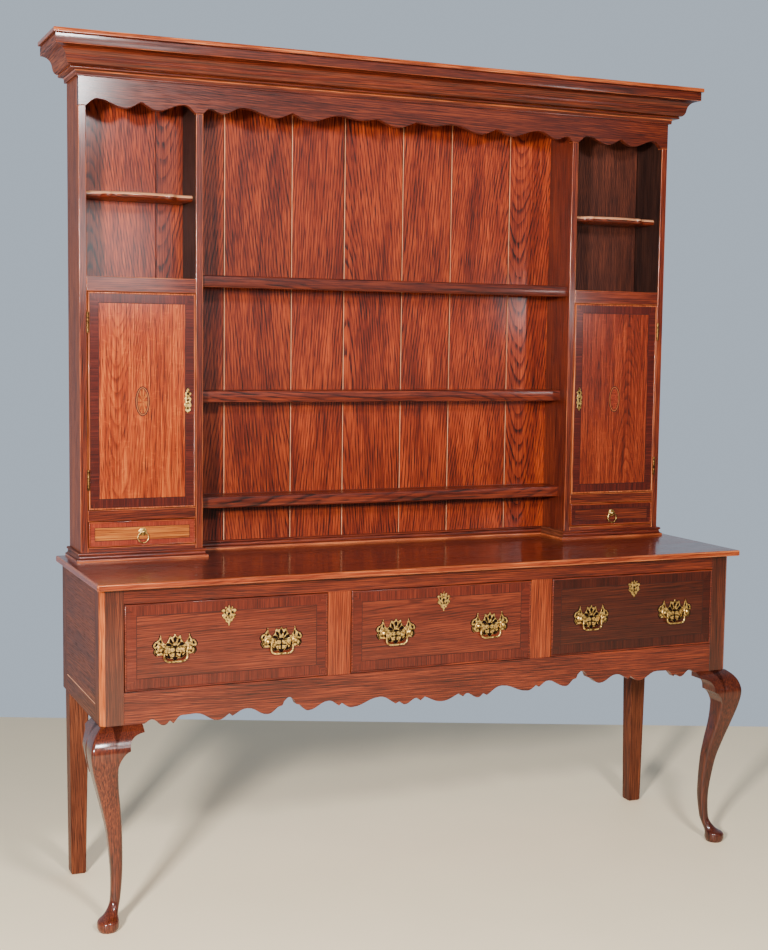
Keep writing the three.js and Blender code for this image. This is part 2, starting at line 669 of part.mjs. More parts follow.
function plateShelf(top, depth) {
  const front = boardsFront - depth;
  const { lip, lipThickness, board, nose } = PLATE_SHELF;
  const shape = new THREE.Shape();
  shape.moveTo(front + nose, top - lip);
  shape.lineTo(front + lipThickness, top - lip);
  shape.lineTo(front + lipThickness, top - board);
  shape.lineTo(boardsFront, top - board);
  shape.lineTo(boardsFront, top);
  shape.lineTo(front + nose, top);
  shape.absarc(front + nose, top - nose, nose, Math.PI / 2, Math.PI);
  shape.absarc(front + nose, top - lip + nose, nose, Math.PI, Math.PI * 3 / 2);
  return alongX(shape, -centreHalf, centreHalf);
}

function shapedShelf() {
  const shape = new THREE.Shape();
  const half = RACK.pierClear / 2;
  const plain = boardsFront - SHAPED_SHELF.depth;
  shape.moveTo(pierOuter, boardsFront);
  shape.lineTo(pierInner, boardsFront);
  shape.lineTo(pierInner, plain);
  scallopedEdge(shape, SHAPED_SHELF_SHARES, pierMiddle, half, plain, -SHAPED_SHELF.bow);
  return alongZ(shape, shapedShelfUnder, shapedShelfUnder + SHAPED_SHELF.thickness);
}

function hingeHeights() {
  return { lower: cupboardRailTop + HINGE.inset, upper: doorTop - HINGE.inset - HINGE.length };
}

function barrel(radius, z0, z1) {
  const cylinder = new THREE.CylinderGeometry(radius, radius, z1 - z0, FACES.barrel);
  return cylinder.rotateX(Math.PI / 2).translate(hingeAxisX, hingeAxisY, (z0 + z1) / 2);
}

function hinge(bottom) {
  const top = bottom + HINGE.length;
  const leaf = box(
    pierOuter - HINGE.leaf, pierOuter, hingeAxisY, rackFront + HINGE.leafDepth, bottom, top);
  return joined(barrel(HINGE.radius, bottom, top), leaf);
}

function door() {
  const panel = beadedFront(
    pierInner + FIT.door, pierOuter - DOOR.hingeGap, cupboardRailTop + FIT.door, doorTop - FIT.door,
    rackFront, DOOR.thickness);
  const room = HINGE.radius + HINGE.clearance;
  const notches = Object.values(hingeHeights()).map((bottom) => (
    barrel(room, bottom - HINGE.clearance, bottom + HINGE.length + HINGE.clearance)));
  return cut(panel, ...notches);
}

function smallDrawer() {
  const x0 = pierInner + FIT.drawer;
  const x1 = pierOuter - FIT.drawer;
  const openingTop = bottomRailTop + PIER_OPENING.smallDrawer;
  const front = beadedFront(
    x0, x1, bottomRailTop + FIT.drawer, openingTop - FIT.drawer, rackFront,
    SMALL_DRAWER.frontThickness);
  const tray = openBox(
    x0, x1, rackFront + SMALL_DRAWER.frontThickness - JOINT.lap, boardsFront - SMALL_DRAWER.rearGap,
    bottomRailTop + FIT.slide, openingTop - SMALL_DRAWER.headroom,
    SMALL_DRAWER.side, SMALL_DRAWER.bottom, SMALL_DRAWER.floorUp);
  return cut(joined(front, tray, ringPost()), ringBore());
}

// Brass

function ringPivot() {
  return new THREE.Vector3(
    pierMiddle, rackFront - RING.bore, bottomRailTop + PIER_OPENING.smallDrawer / 2 + RING.above);
}

function ringPost() {
  const pivot = ringPivot();
  const length = RING.postLength + JOINT.lap;
  const post = new THREE.CylinderGeometry(RING.postRadius, RING.postRadius, length, FACES.post);
  return post.translate(pivot.x, rackFront - RING.postLength + length / 2, pivot.z);
}

function ringBore() {
  const pivot = ringPivot();
  const bore = new THREE.CylinderGeometry(
    RING.boreRadius, RING.boreRadius, 3 * RING.postRadius, FACES.bore);
  return bore.rotateZ(Math.PI / 2).translate(pivot.x, pivot.y, pivot.z);
}

function ring() {
  const pivot = ringPivot();
  const torus = new THREE.TorusGeometry(RING.radius, RING.wire, FACES.wire, FACES.ring);
  return torus.rotateX(Math.PI / 2).translate(pivot.x, pivot.y, pivot.z - RING.radius);
}

// A willow plate with its two bored posts, its back on Y zero and its middle on X and Z zero
function willowPlate() {
  const scaled = ([x, z]) => [x * PLATE.halfWidth, z * PLATE.halfHeight];
  const flipped = ([x, z]) => [-x, z];
  const right = PLATE_EDGE_SHARES.map(scaled);
  const left = right.slice(1, -1).reverse().map(flipped);
  const shape = polygon([...right, ...left]);
  for (const piercing of PLATE_PIERCING_SHARES) {
    shape.holes.push(polygon(piercing.map(scaled)));
    if (piercing[0][0] > 0) shape.holes.push(polygon(piercing.map(scaled).map(flipped)));
  }
  const sheet = alongY(shape, -PLATE.thickness, 0);
  const posts = [-1, 1].map((side) => platePost(side * POST.spread));
  const bore = new THREE.CylinderGeometry(
    BAIL.wire + FIT.bore, BAIL.wire + FIT.bore, 4 * POST.spread, FACES.bore);
  bore.rotateZ(Math.PI / 2).translate(0, -PLATE.thickness - POST.bore, -POST.drop);
  return cut(joined(sheet, ...posts), bore);
}

function platePost(x) {
  const { radius, collar, collarHeight, length } = POST;
  const outline = [
    [0, 0], [collar, 0], [collar, PLATE.thickness + collarHeight / 2],
    [radius, PLATE.thickness + collarHeight], [radius, length - radius / 2],
    [radius / 2, length], [0, length],
  ].map(([out, up]) => new THREE.Vector2(out, up));
  return new THREE.LatheGeometry(outline, FACES.post).rotateX(Math.PI).translate(x, 0, -POST.drop);
}

// A bail with its pins turned outwards into the posts, hanging from X, Y and Z zero
function bail() {
  const { halfWidth, drop, pin, bend, corner } = BAIL;
  const side = [
    [POST.spread + pin / 3, 0], [halfWidth + bend, 0], [halfWidth + bend / 4, -bend / 3],
    [halfWidth, -bend], [halfWidth, -drop / 2], [halfWidth - corner / 4, corner - drop],
    [halfWidth - corner, -drop + corner / 5], [halfWidth / 3, -drop],
  ];
  const left = side.map(([x, z]) => new THREE.Vector3(-x, 0, z));
  const right = side.map(([x, z]) => new THREE.Vector3(x, 0, z)).reverse();
  const path = new THREE.CatmullRomCurve3([...left, ...right], false, 'centripetal');
  const section = new THREE.Shape().absarc(0, 0, BAIL.wire, 0, 2 * Math.PI);
  const options = { steps: FACES.bail, extrudePath: path, curveSegments: FACES.wire / 2 };
  return new THREE.ExtrudeGeometry(section, options);
}

// Assembly

const dresser = new THREE.Group();

function add(name, geometry, finish) {
  const skin = welded(geometry).toNonIndexed();
  skin.computeVertexNormals();
  const mesh = new THREE.Mesh(skin, new THREE.MeshStandardMaterial(FINISH[finish]));
  mesh.name = name;
  dresser.add(mesh);
}

// The geometry is made for the right hand side, and its mirror image is the left hand one
function addPair(ending, geometry, finish, lead = '') {
  add(`${lead}right_${ending}`, geometry, finish);
  add(`${lead}left_${ending}`, mirrored(geometry), finish);
}

function addBase() {
  add('base_top_board', baseTopBoard(), 'bright');
  addPair('end_board', endBoard(), 'case');
  const backBottom = caseBottom + BASE_BACK.footUp;
  add('base_back_board', box(-postInner, postInner, backFront, caseRear, backBottom, caseTop), 'inner');
  add('front_top_rail', box(-postInner, postInner, caseFront, railRear, railBottom, caseTop), 'case');
  add('scalloped_apron', apron(), 'case');
  addPair('drawer_divider', divider(), 'bright');
  addPair('leg', frontLeg(), 'case', 'front_');
  addPair('leg', rearLeg(), 'case', 'rear_');
}

function addBaseDrawers() {
  const plate = willowPlate();
  const pull = bail();
  const plateZ = (apronTop + railBottom) / 2 - PLATE.below;
  const pivotY = caseFront - PLATE.thickness - POST.bore;
  ['left', 'centre', 'right'].forEach((place, index) => {
    const x = (index - 1) * drawerPitch;
    add(`${place}_drawer_front`, moved(drawerFront(), x, 0, 0), 'case');
    add(`${place}_drawer_box`, moved(drawerBox(), x, 0, 0), 'inner');
    for (const [hand, side] of [['left', -1], ['right', 1]]) {
      const plateX = x + side * PLATE.spacing / 2;
      add(`${place}_drawer_${hand}_plate`, moved(plate, plateX, caseFront, plateZ), 'brass');
      add(`${place}_drawer_${hand}_bail`, moved(pull, plateX, pivotY, plateZ - POST.drop), 'brass');
    }
  });
}

function addRack() {
  add('cornice', cornice(), 'case');
  add('rack_top_board', box(-pierOuter, pierOuter, friezeRear, 0, topBoardUnder, rackTop), 'dark');
  add('scalloped_frieze', frieze(), 'case');
  addPair('outer_side', pierBoard(pierOuter, rackHalf, 0, rackTop), 'case');
  addPair('inner_upright', pierBoard(centreHalf, pierInner, boardsFront, topBoardUnder), 'case');
  for (const [place, height] of Object.entries(PLATE_SHELF_UP)) {
    const depth = place === 'upper' ? PLATE_SHELF.deep : PLATE_SHELF.shallow;
    add(`${place}_plate_shelf`, plateShelf(boardSurface + height, depth), 'dark');
  }
  addPair('shaped_shelf', shapedShelf(), 'dark');
  addPair('compartment_floor', lippedBoard(compartmentRailTop, RAIL.compartment), 'case');
  addPair('cupboard_floor', lippedBoard(cupboardRailTop, RAIL.cupboard), 'case');
  addPair('pier_bottom', lippedBoard(bottomRailTop, RAIL.bottom), 'case');
  add('rack_base_moulding', rackBaseMoulding(), 'case');
  add('rack_backboards', backboards(), 'bright');
}

function addDoorsAndSmallDrawers() {
  const heights = hingeHeights();
  addPair('door', door(), 'bright');
  addPair('upper_hinge', hinge(heights.upper), 'brass');
  addPair('lower_hinge', hinge(heights.lower), 'brass');
  addPair('small_drawer', smallDrawer(), 'dark');
  addPair('small_drawer_ring', ring(), 'brass');
}

addBase();
addBaseDrawers();
addRack();
addDoorsAndSmallDrawers();

// The origin is the middle of the footprint, on the floor
const extent = new THREE.Box3().setFromObject(dresser);
const middle = extent.getCenter(new THREE.Vector3());
dresser.position.set(-middle.x, -middle.y, -extent.min.z);

export default dresser;
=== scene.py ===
"""A Welsh dresser in polished oak, built from the pieces that a cabinetmaker cuts.

A base of three drawers stands on cabriole legs under a scalloped apron. On it stands a rack: plate
shelves before planked backs, and at each end a pier with a shaped shelf, an open compartment, a
cupboard with a crossbanded door and a small drawer. The furniture is pierced brass.

Lengths are metres. X runs to the right, Y to the back and Z up, so the front faces -Y.
"""

import logging
import math
import random
from dataclasses import dataclass, field, replace
from enum import Enum
from typing import Any, Iterable, NamedTuple, Optional, Sequence, Union

import bmesh
import bpy
from mathutils import Matrix, Vector

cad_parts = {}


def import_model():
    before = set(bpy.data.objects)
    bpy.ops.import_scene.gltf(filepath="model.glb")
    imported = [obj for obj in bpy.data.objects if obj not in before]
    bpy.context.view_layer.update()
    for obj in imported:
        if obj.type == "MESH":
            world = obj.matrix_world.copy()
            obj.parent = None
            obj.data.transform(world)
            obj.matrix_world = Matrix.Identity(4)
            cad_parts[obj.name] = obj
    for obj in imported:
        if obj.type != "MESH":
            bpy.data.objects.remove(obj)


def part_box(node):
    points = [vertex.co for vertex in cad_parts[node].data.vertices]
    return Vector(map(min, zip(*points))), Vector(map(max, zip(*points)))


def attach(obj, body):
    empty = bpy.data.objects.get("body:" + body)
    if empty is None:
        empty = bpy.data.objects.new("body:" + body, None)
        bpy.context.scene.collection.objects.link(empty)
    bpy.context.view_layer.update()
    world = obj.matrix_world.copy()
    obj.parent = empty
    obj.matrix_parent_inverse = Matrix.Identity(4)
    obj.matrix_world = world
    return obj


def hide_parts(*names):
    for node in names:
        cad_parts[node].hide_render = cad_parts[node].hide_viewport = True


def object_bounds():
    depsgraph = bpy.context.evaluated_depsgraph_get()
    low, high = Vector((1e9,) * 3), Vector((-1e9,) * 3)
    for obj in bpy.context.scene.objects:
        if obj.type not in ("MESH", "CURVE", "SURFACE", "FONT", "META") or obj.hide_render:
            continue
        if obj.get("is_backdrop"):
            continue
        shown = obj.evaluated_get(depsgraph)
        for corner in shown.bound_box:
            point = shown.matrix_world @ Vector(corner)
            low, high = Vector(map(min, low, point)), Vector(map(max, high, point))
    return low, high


LOG = logging.getLogger("dresser")

CARCASS = "carcass"
# The round that a plane leaves along an edge, and a whole turn.
ARRIS = 0.0012
TURN = 2 * math.pi

Colour = tuple[float, float, float, float]
Screen = tuple[int, int, int]
Pair = tuple[float, float]
Station = Union[Pair, tuple[float, float, bool]]
Number = Union[float, "Signal"]


def stain(*parts: int) -> Colour:
    """Turns a screen colour's red, green and blue, from 0 to 255, into a linear colour."""
    shares = [part / 255 for part in parts]
    red, green, blue = (
        share / 12.92 if share <= 0.04045 else ((share + 0.055) / 1.055) ** 2.4
        for share in shares
    )
    return red, green, blue, 1.0


def toned(colour: Colour, factor: float) -> Colour:
    """Returns a colour made lighter or darker by a factor."""
    return colour[0] * factor, colour[1] * factor, colour[2] * factor, 1.0


class Axis(Enum):
    """The axis that a piece is run, turned or bored along."""

    X = 0
    Y = 1
    Z = 2


class Cut(Enum):
    """How a board lies: the axes along, across and through its grain."""

    RAIL = "XZY"
    STILE = "ZXY"
    SHELF = "XYZ"
    SIDE = "ZYX"
    END = "YZX"
    RUNNER = "YXZ"


class Spot(Enum):
    """A choice of place, whose name stands in the names of pieces."""

    @property
    def word(self) -> str:
        """The place's name as it stands in the names of pieces."""
        return self.name.lower()


class Hand(Spot):
    """The side of the dresser that a piece stands on."""

    LEFT = -1
    RIGHT = 1


class Place(Spot):
    """The place of a drawer in the base, in drawer widths from the middle."""

    LEFT = -1
    CENTRE = 0
    RIGHT = 1


# Shaders


class Signal:
    """One output socket of a recipe. Python's operators on it add Math nodes."""

    def __init__(self, recipe: "Recipe", socket: bpy.types.NodeSocket) -> None:
        """Keeps the socket and the recipe that it belongs to."""
        self.recipe = recipe
        self.socket = socket

    def sibling(self, output: str) -> "Signal":
        """Returns another output of the same node."""
        return Signal(self.recipe, self.socket.node.outputs[output])

    def math(self, operation: str, *values: Number) -> "Signal":
        """Adds a Math node that takes this signal first and the values after it."""
        sockets = dict(enumerate((self, *values)))
        return self.recipe.add("ShaderNodeMath", {"operation": operation}, sockets)

    def _after(self, operation: str, value: Number) -> "Signal":
        """Adds a Math node that takes this signal second."""
        return self.recipe.add("ShaderNodeMath", {"operation": operation}, {0: value, 1: self})

    def __add__(self, other: Number) -> "Signal":
        """Adds a value."""
        return self.math("ADD", other)

    def __radd__(self, other: Number) -> "Signal":
        """Is added to a value."""
        return self._after("ADD", other)

    def __sub__(self, other: Number) -> "Signal":
        """Takes a value away."""
        return self.math("SUBTRACT", other)

    def __rsub__(self, other: Number) -> "Signal":
        """Is taken away from a value."""
        return self._after("SUBTRACT", other)

    def __mul__(self, other: Number) -> "Signal":
        """Multiplies by a value."""
        return self.math("MULTIPLY", other)

    def __rmul__(self, other: Number) -> "Signal":
        """Multiplies a value."""
        return self._after("MULTIPLY", other)

    def eased(self, low: float, high: float, start: float = 0.0, stop: float = 1.0) -> "Signal":
        """Rises smoothly from start to stop while this signal goes from low to high."""
        sockets = {0: self, 1: low, 2: high, 3: start, 4: stop}
        return self.recipe.add(
            "ShaderNodeMapRange", {"interpolation_type": "SMOOTHSTEP"}, sockets)


class Recipe:
    """A node tree under construction, of a material or of the world."""

    def __init__(self, owner: Union[bpy.types.Material, bpy.types.World]) -> None:
        """Gives the owner an empty tree."""
        owner.use_nodes = True
        self.owner = owner
        self.tree = owner.node_tree
        self.tree.nodes.clear()

    def add(
        self,
        kind: str,
        settings: Optional[dict[str, Any]] = None,
        sockets: Optional[dict[Union[int, str], Any]] = None,
        output: Union[int, str] = 0,
    ) -> Signal:
        """Adds a node, sets it and then feeds its sockets.

        Args:
            kind: The node's type.
            settings: Its settings by name. A ramp's stops are pairs of a place and a colour.
            sockets: Values or signals by the input's name or number.
            output: The output to return.

        Returns:
            The chosen output.
        """
        node = self.tree.nodes.new(kind)
        for key, value in (settings or {}).items():
            if key == "stops":
                self._set_stops(node.color_ramp, value)
            else:
                setattr(node, key, value)
        for key, value in (sockets or {}).items():
            if isinstance(value, Signal):
                self.tree.links.new(value.socket, node.inputs[key])
            else:
                node.inputs[key].default_value = value
        return Signal(self, node.outputs[output])

    @staticmethod
    def _set_stops(ramp: bpy.types.ColorRamp, stops: Sequence[tuple[float, Colour]]) -> None:
        """Gives a colour ramp its stops."""
        while len(ramp.elements) < len(stops):
            ramp.elements.new(1.0)
        for element, (place, colour) in zip(ramp.elements, stops):
            element.position = place
            element.color = colour

    def ramp(self, factor: Signal, stops: Sequence[tuple[float, Colour]]) -> Signal:
        """Turns a value into a colour."""
        return self.add("ShaderNodeValToRGB", {"stops": stops}, {0: factor})

    def noise(self, vector: Signal, scale: float, detail: float = 2.0) -> Signal:
        """Adds smooth noise around a half."""
        sockets = {"Vector": vector, "Scale": scale, "Detail": detail}
        return self.add("ShaderNodeTexNoise", None, sockets)

    def vector(self, first: Number, second: Number, third: Number) -> Signal:
        """Joins three values into a vector."""
        return self.add("ShaderNodeCombineXYZ", None, {0: first, 1: second, 2: third})

    def mixed(self, factor: Number, first: Any, second: Any) -> Signal:
        """Mixes two colours, which sit at 6 and 7 on the node, into the result at 2."""
        sockets = {0: factor, 6: first, 7: second}
        return self.add("ShaderNodeMix", {"data_type": "RGBA"}, sockets, 2)

    def end(self, kind: str, shader: Signal) -> None:
        """Links a shader to an output node of the given kind."""
        node = self.tree.nodes.new(kind)
        self.tree.links.new(shader.socket, node.inputs["Surface"])

    def finished(self, sockets: dict[Union[int, str], Any], height: Optional[Signal] = None,
                 relief: float = 0.0) -> bpy.types.Material:
        """Adds the surface shader and the output.

        Args:
            sockets: The Principled shader's sockets.
            height: The height of the surface, if it has relief.
            relief: The depth of that relief in metres.

        Returns:
            The material.
        """
        if height is not None:
            bump = self.add("ShaderNodeBump", None, {"Height": height, "Distance": relief})
            sockets = {**sockets, "Normal": bump}
        self.end("ShaderNodeOutputMaterial", self.add("ShaderNodeBsdfPrincipled", None, sockets))
        return self.owner


class Figure(Enum):
    """A noise in the wood: how often it repeats along and across the grain, and its detail."""

    SWEEP = (1.3, 4, 1)
    WAVE = (9, 30, 2)
    BREAKS = (14, 160, 1)
    PORES = (22, 560, 2)
    STREAKS = (8, 400, 2)
    CLOUD = (3, 20, 4)
    FLECKS = (120, 60, 2)


# The values between which a noise's patches rise, and between which a ring falls and rises.
PORE_CUT, FLECK_CUT, BREAK_CUT = (0.52, 0.72), (0.58, 0.70), (0.30, 0.60)
RING_FALL, RING_RISE = (0.02, 0.45), (0.86, 1.0)
FAINTEST_RING = 0.3
# How far the sweep and the wave bend the rings, and how deep the heart lies, in metres.
SWEEP_ASIDE, SWEEP_DEEP, WAVE_BEND = 0.05, 0.03, 0.006
HEART_DEPTH = (0.02, 0.05)
# How much each part of the figure moves the shade, the roughness and the surface.
STREAK_PULL, RING_PULL, RING_LIFT, PORE_PULL, FLECK_PULL = 3.2, 0.9, 0.16, 0.9, 0.35
PORE_ROUGHNESS, CLOUD_ROUGHNESS = 0.16, 0.18
PORE_DEPTH, RING_DEPTH, WOOD_RELIEF = 0.7, 0.25, 0.00025
POLISH_ROUGHNESS, WOOD_SHINE = 0.13, 0.12


@dataclass(frozen=True)
class Grain:
    """A place in a board, along, across and through its grain, and its shift in the noise."""

    recipe: Recipe
    along: Signal
    across: Signal
    through: Signal
    shift: float

    def noise(self, figure: Figure) -> Signal:
        """Adds one of the wood's noises."""
        length, width, detail = figure.value
        vector = self.recipe.vector(
            self.along * length + self.shift, self.across * width, self.through * width)
        return self.recipe.noise(vector, 1.0, detail)


@dataclass(frozen=True)
class Timber:
    """A polished wood.

    Attributes:
        name: The finish's name.
        dark: The screen colour of the pores and the early wood.
        body: The screen colour of the most of it.
        light: The screen colour of its lightest streaks.
        ring: The spacing of the growth rings.
        heart: How far the heart of the tree lies from the board's middle, least and most.
        lean: How far the rings lean along the board, least and most.
        figure: How strongly the rings show.
        streak: How strongly the long streaks show.
        pore: How strongly the pores show.
        ray: How strongly the silver rays show.
        gloss: The roughness under the polish.
        polish: The weight of the polish.
        cloud: How strongly the tone wanders over a board.
        spread: How much one board may differ from the next in tone.
    """

    name: str
    dark: Screen
    body: Screen
    light: Screen
    ring: float = 0.0052
    heart: Pair = (0.03, 0.14)
    lean: Pair = (0.01, 0.06)
    figure: float = 0.55
    streak: float = 0.45
    pore: float = 0.35
    ray: float = 0.0
    gloss: float = 0.36
    polish: float = 0.55
    cloud: float = 0.7
    spread: float = 0.03

    def material(self, cut: Cut, middle: Vector, label: str,
                 tone: float = 1.0) -> bpy.types.Material:
        """Makes the material of one board.

        Args:
            cut: How the board lies.
            middle: The middle of the board.
            label: The board's name, which also picks its place in the tree.
            tone: How light the board is beside its fellows.

        Returns:
            The material.
        """
        name = f"{self.name}_{label}"
        if name in bpy.data.materials:
            return bpy.data.materials[name]
        draw = random.Random(name)
        recipe = Recipe(bpy.data.materials.new(name))
        place = recipe.add("ShaderNodeTexCoord", None, None, "Object")
        parts = recipe.add("ShaderNodeSeparateXYZ", None, {0: place})
        axes = {"X": parts, "Y": parts.sibling("Y"), "Z": parts.sibling("Z")}
        lengths = [axes[letter] - middle["XYZ".index(letter)] for letter in cut.value]
        grain = Grain(recipe, *lengths, draw.uniform(-40, 40))
        rings = self._rings(grain, draw)
        pores = grain.noise(Figure.PORES).eased(*PORE_CUT)
        streaks = grain.noise(Figure.STREAKS)
        cloud = grain.noise(Figure.CLOUD)
        shade = (
            0.5 + (streaks - 0.5) * (STREAK_PULL * self.streak) + (cloud - 0.5) * self.cloud
            - rings * (RING_PULL * self.figure) + RING_LIFT * self.figure
            - pores * (PORE_PULL * self.pore)
        )
        if self.ray:
            flecks = grain.noise(Figure.FLECKS).eased(*FLECK_CUT)
            shade = shade + flecks * (FLECK_PULL * self.ray)
        level = tone * (1 + draw.uniform(-self.spread, self.spread))
        stops = [
            (place / 2, toned(stain(*colour), level))
            for place, colour in enumerate((self.dark, self.body, self.light))
        ]
        rough = self.gloss + pores * PORE_ROUGHNESS + (cloud - 0.5) * CLOUD_ROUGHNESS
        sockets = {
            "Base Color": recipe.ramp(shade, stops), "Roughness": rough,
            "Coat Weight": self.polish, "Coat Roughness": POLISH_ROUGHNESS,
            "Specular IOR Level": WOOD_SHINE,
        }
        return recipe.finished(sockets, 1 - pores * PORE_DEPTH - rings * RING_DEPTH, WOOD_RELIEF)

    def _rings(self, grain: Grain, draw: random.Random) -> Signal:
        """Adds the growth rings of the tree that the board was sawn from.

        Args:
            grain: The place in the board.
            draw: The board's own source of chance.

        Returns:
            A value that is 1 on the early wood of each ring.
        """
        sweep, wave, breaks = map(grain.noise, (Figure.SWEEP, Figure.WAVE, Figure.BREAKS))
        heart = draw.choice((-1, 1)) * draw.uniform(*self.heart)
        side = grain.across - heart + (sweep - 0.5) * SWEEP_ASIDE
        depth = grain.through + draw.uniform(*HEART_DEPTH) + (sweep - 0.5) * SWEEP_DEEP
        lean = draw.choice((-1, 1)) * draw.uniform(*self.lean)
        distance = (side * side + depth * depth).math("SQRT")
        radius = distance + grain.along * lean + (wave - 0.5) * WAVE_BEND
        phase = radius * (1 / self.ring)
        band = phase.math("FRACT")
        count = phase.math("FLOOR")
        chance = grain.recipe.add(
            "ShaderNodeTexWhiteNoise", {"noise_dimensions": "1D"}, {"W": count})
        early = 1 - band.eased(*RING_FALL) + band.eased(*RING_RISE)
        strength = FAINTEST_RING + chance * (1 - FAINTEST_RING)
        return early * strength * breaks.eased(*BREAK_CUT)


@dataclass(frozen=True)
class Metal:
    """A cast or drawn metal with wear and dirt.

    Attributes:
        name: The finish's name.
        bright: The colour where it is rubbed.
        dull: The colour where dirt lies.
        roughness: Its roughness where it is rubbed.
        wear: The scale of its wear, beside the scale of its grit.
        grit_share: How much the grit takes part in the dirt.
        dirt: The values between which dirt sets in.
        relief: The depth of its hollows.
    """

    name: str
    bright: Colour
    dull: Colour
    roughness: float = 0.30
    wear: float = 190.0
    grit: float = 900.0
    grit_share: float = 0.25
    dirt: Pair = (0.42, 0.62)
    dirt_roughness: float = 0.22
    relief: float = 0.0014

    def material(self) -> bpy.types.Material:
        """Makes the material, or returns it if it has been made."""
        if self.name in bpy.data.materials:
            return bpy.data.materials[self.name]
        recipe = Recipe(bpy.data.materials.new(self.name))
        place = recipe.add("ShaderNodeTexCoord", None, None, "Object")
        wear = recipe.noise(place, self.wear, 3.0)
        grit = recipe.noise(place, self.grit, 2.0)
        dirt = (wear * (1 - self.grit_share) + grit * self.grit_share).eased(*self.dirt)
        sockets = {
            "Base Color": recipe.mixed(dirt, self.bright, self.dull),
            "Metallic": 1.0,
            "Roughness": self.roughness + dirt * self.dirt_roughness,
        }
        return recipe.finished(sockets, grit * 0.1 + wear * 0.9, self.relief)


@dataclass(frozen=True)
class Plain:
    """A plain surface with a little unevenness.

    Attributes:
        name: The finish's name.
        colour: Its colour.
        roughness: Its mean roughness.
        scale: The scale of its unevenness.
        shine: How much of the light it mirrors.
    """

    name: str
    colour: Colour
    roughness: float = 0.6
    scale: float = 40.0
    shine: float = 0.5

    def material(self) -> bpy.types.Material:
        """Makes the material, or returns it if it has been made."""
        if self.name in bpy.data.materials:
            return bpy.data.materials[self.name]
        recipe = Recipe(bpy.data.materials.new(self.name))
        place = recipe.add("ShaderNodeTexCoord", None, None, "Object")
        cloud = recipe.noise(place, self.scale, 3.0)
        sockets = {
            "Base Color": recipe.mixed(cloud, toned(self.colour, 0.94), toned(self.colour, 1.04)),
            "Roughness": self.roughness + (cloud - 0.5) * 0.1,
            "Specular IOR Level": self.shine,
        }
        return recipe.finished(sockets)


CASE_OAK = Timber("case_oak", (28, 8, 5), (80, 26, 14), (130, 54, 26), spread=0.08)
END_OAK = Timber("end_oak", (42, 16, 9), (92, 42, 24), (134, 72, 42), gloss=0.5, polish=0.12)
LEG_OAK = Timber(
    "leg_oak", (28, 9, 5), (74, 27, 14), (120, 54, 27), figure=0.4, streak=0.4, polish=0.8)
# Wear and painted highlight: a lighter wood for rounded edges, beads and moulding lines, where
# hands rub them and where the light catches them.
WEAR_AND_SHEEN_OAK = Timber("worn_oak", (74, 26, 12), (142, 64, 30), (196, 112, 60), streak=0.6, figure=0.3)
# Painted light and wear: a lighter wood on the posts' canted corners, where they catch the light.
LIT_CANT_OAK = Timber(
    "cant_oak", (84, 30, 12), (158, 76, 34), (206, 122, 62), streak=0.6, figure=0.3, gloss=0.5,
    polish=0.1)
# Painted shade: a dark wood for the faces inside the piers, where little light reaches.
PIER_SIDE_SHADE_OAK = Timber("smoked_oak", (14, 7, 6), (38, 20, 16), (68, 38, 28), gloss=0.5, polish=0.15)
TOP_OAK = Timber(
    "top_oak", (34, 9, 6), (84, 26, 13), (130, 52, 24), gloss=0.30, polish=0.7, spread=0.10)
# Painted highlight: a lighter wood for the top board's edges and the small drawers' beads, where
# the light catches them.
EDGE_SHEEN_OAK = Timber("edge_oak", (58, 17, 8), (116, 42, 19), (160, 76, 34))
DIVIDER_OAK = Timber("divider_oak", (54, 16, 8), (112, 40, 16), (158, 74, 32))
BACK_OAK = Timber(
    "back_oak", (28, 7, 4), (96, 27, 11), (162, 64, 23), ring=0.0078, figure=0.85, streak=0.45,
    pore=0.4, cloud=1.0, lean=(0.06, 0.18), heart=(0.05, 0.14), spread=0.02, gloss=0.42, polish=0.4)
# Painted shade: a darker wood for the plank inside the right pier, which lies in shade.
PIER_PLANK_SHADE_OAK = Timber(
    "pier_oak", (22, 10, 8), (56, 26, 18), (96, 46, 30), figure=0.6, spread=0.02, lean=(0.06, 0.18),
    gloss=0.5, polish=0.15)
# Painted light: a pale wood for the highlight along the shaped shelves' front edges, the light that
# shows through the backboards' joints and the light line in the end boards' joint.
PAINTED_LIGHT_OAK = Timber(
    "tongue_oak", (136, 80, 52), (186, 128, 92), (208, 158, 122), streak=0.3, figure=0.2,
    polish=0.1)
SHELF_OAK = Timber("shelf_oak", (24, 7, 5), (76, 23, 12), (118, 46, 22), figure=0.8, spread=0.02)
DOOR_OAK = Timber(
    "door_oak", (62, 18, 6), (132, 45, 13), (186, 92, 31), figure=0.4, streak=0.5, pore=0.6,
    ray=0.3, heart=(0.02, 0.06), lean=(0.10, 0.18))
RED_DOOR_OAK = Timber(
    "red_door_oak", (46, 12, 6), (104, 32, 14), (150, 62, 27), figure=0.4, streak=0.5, pore=0.7,
    ray=0.25, heart=(0.02, 0.06), lean=(0.10, 0.18))
DRAWER_OAK = Timber(
    "drawer_oak", (38, 11, 6), (84, 28, 15), (126, 52, 26), streak=0.36, spread=0.02)
CROSSBAND = Timber(
    "crossband", (40, 11, 7), (80, 24, 13), (114, 42, 22), ring=0.012, figure=0.25, streak=0.36,
    polish=0.5)
DOOR_BAND = Timber(
    "door_band", (34, 9, 7), (66, 18, 12), (102, 34, 20), ring=0.012, figure=0.25, streak=0.36,
    polish=0.5)
BRIGHT_BAND = Timber(
    "bright_band", (84, 24, 14), (122, 42, 24), (152, 66, 38), ring=0.012, figure=0.25, streak=0.36,
    polish=0.5)
SMALL_FIELD = Timber(
    "small_field", (84, 34, 10), (146, 72, 24), (186, 112, 44), streak=0.6, spread=0.10)
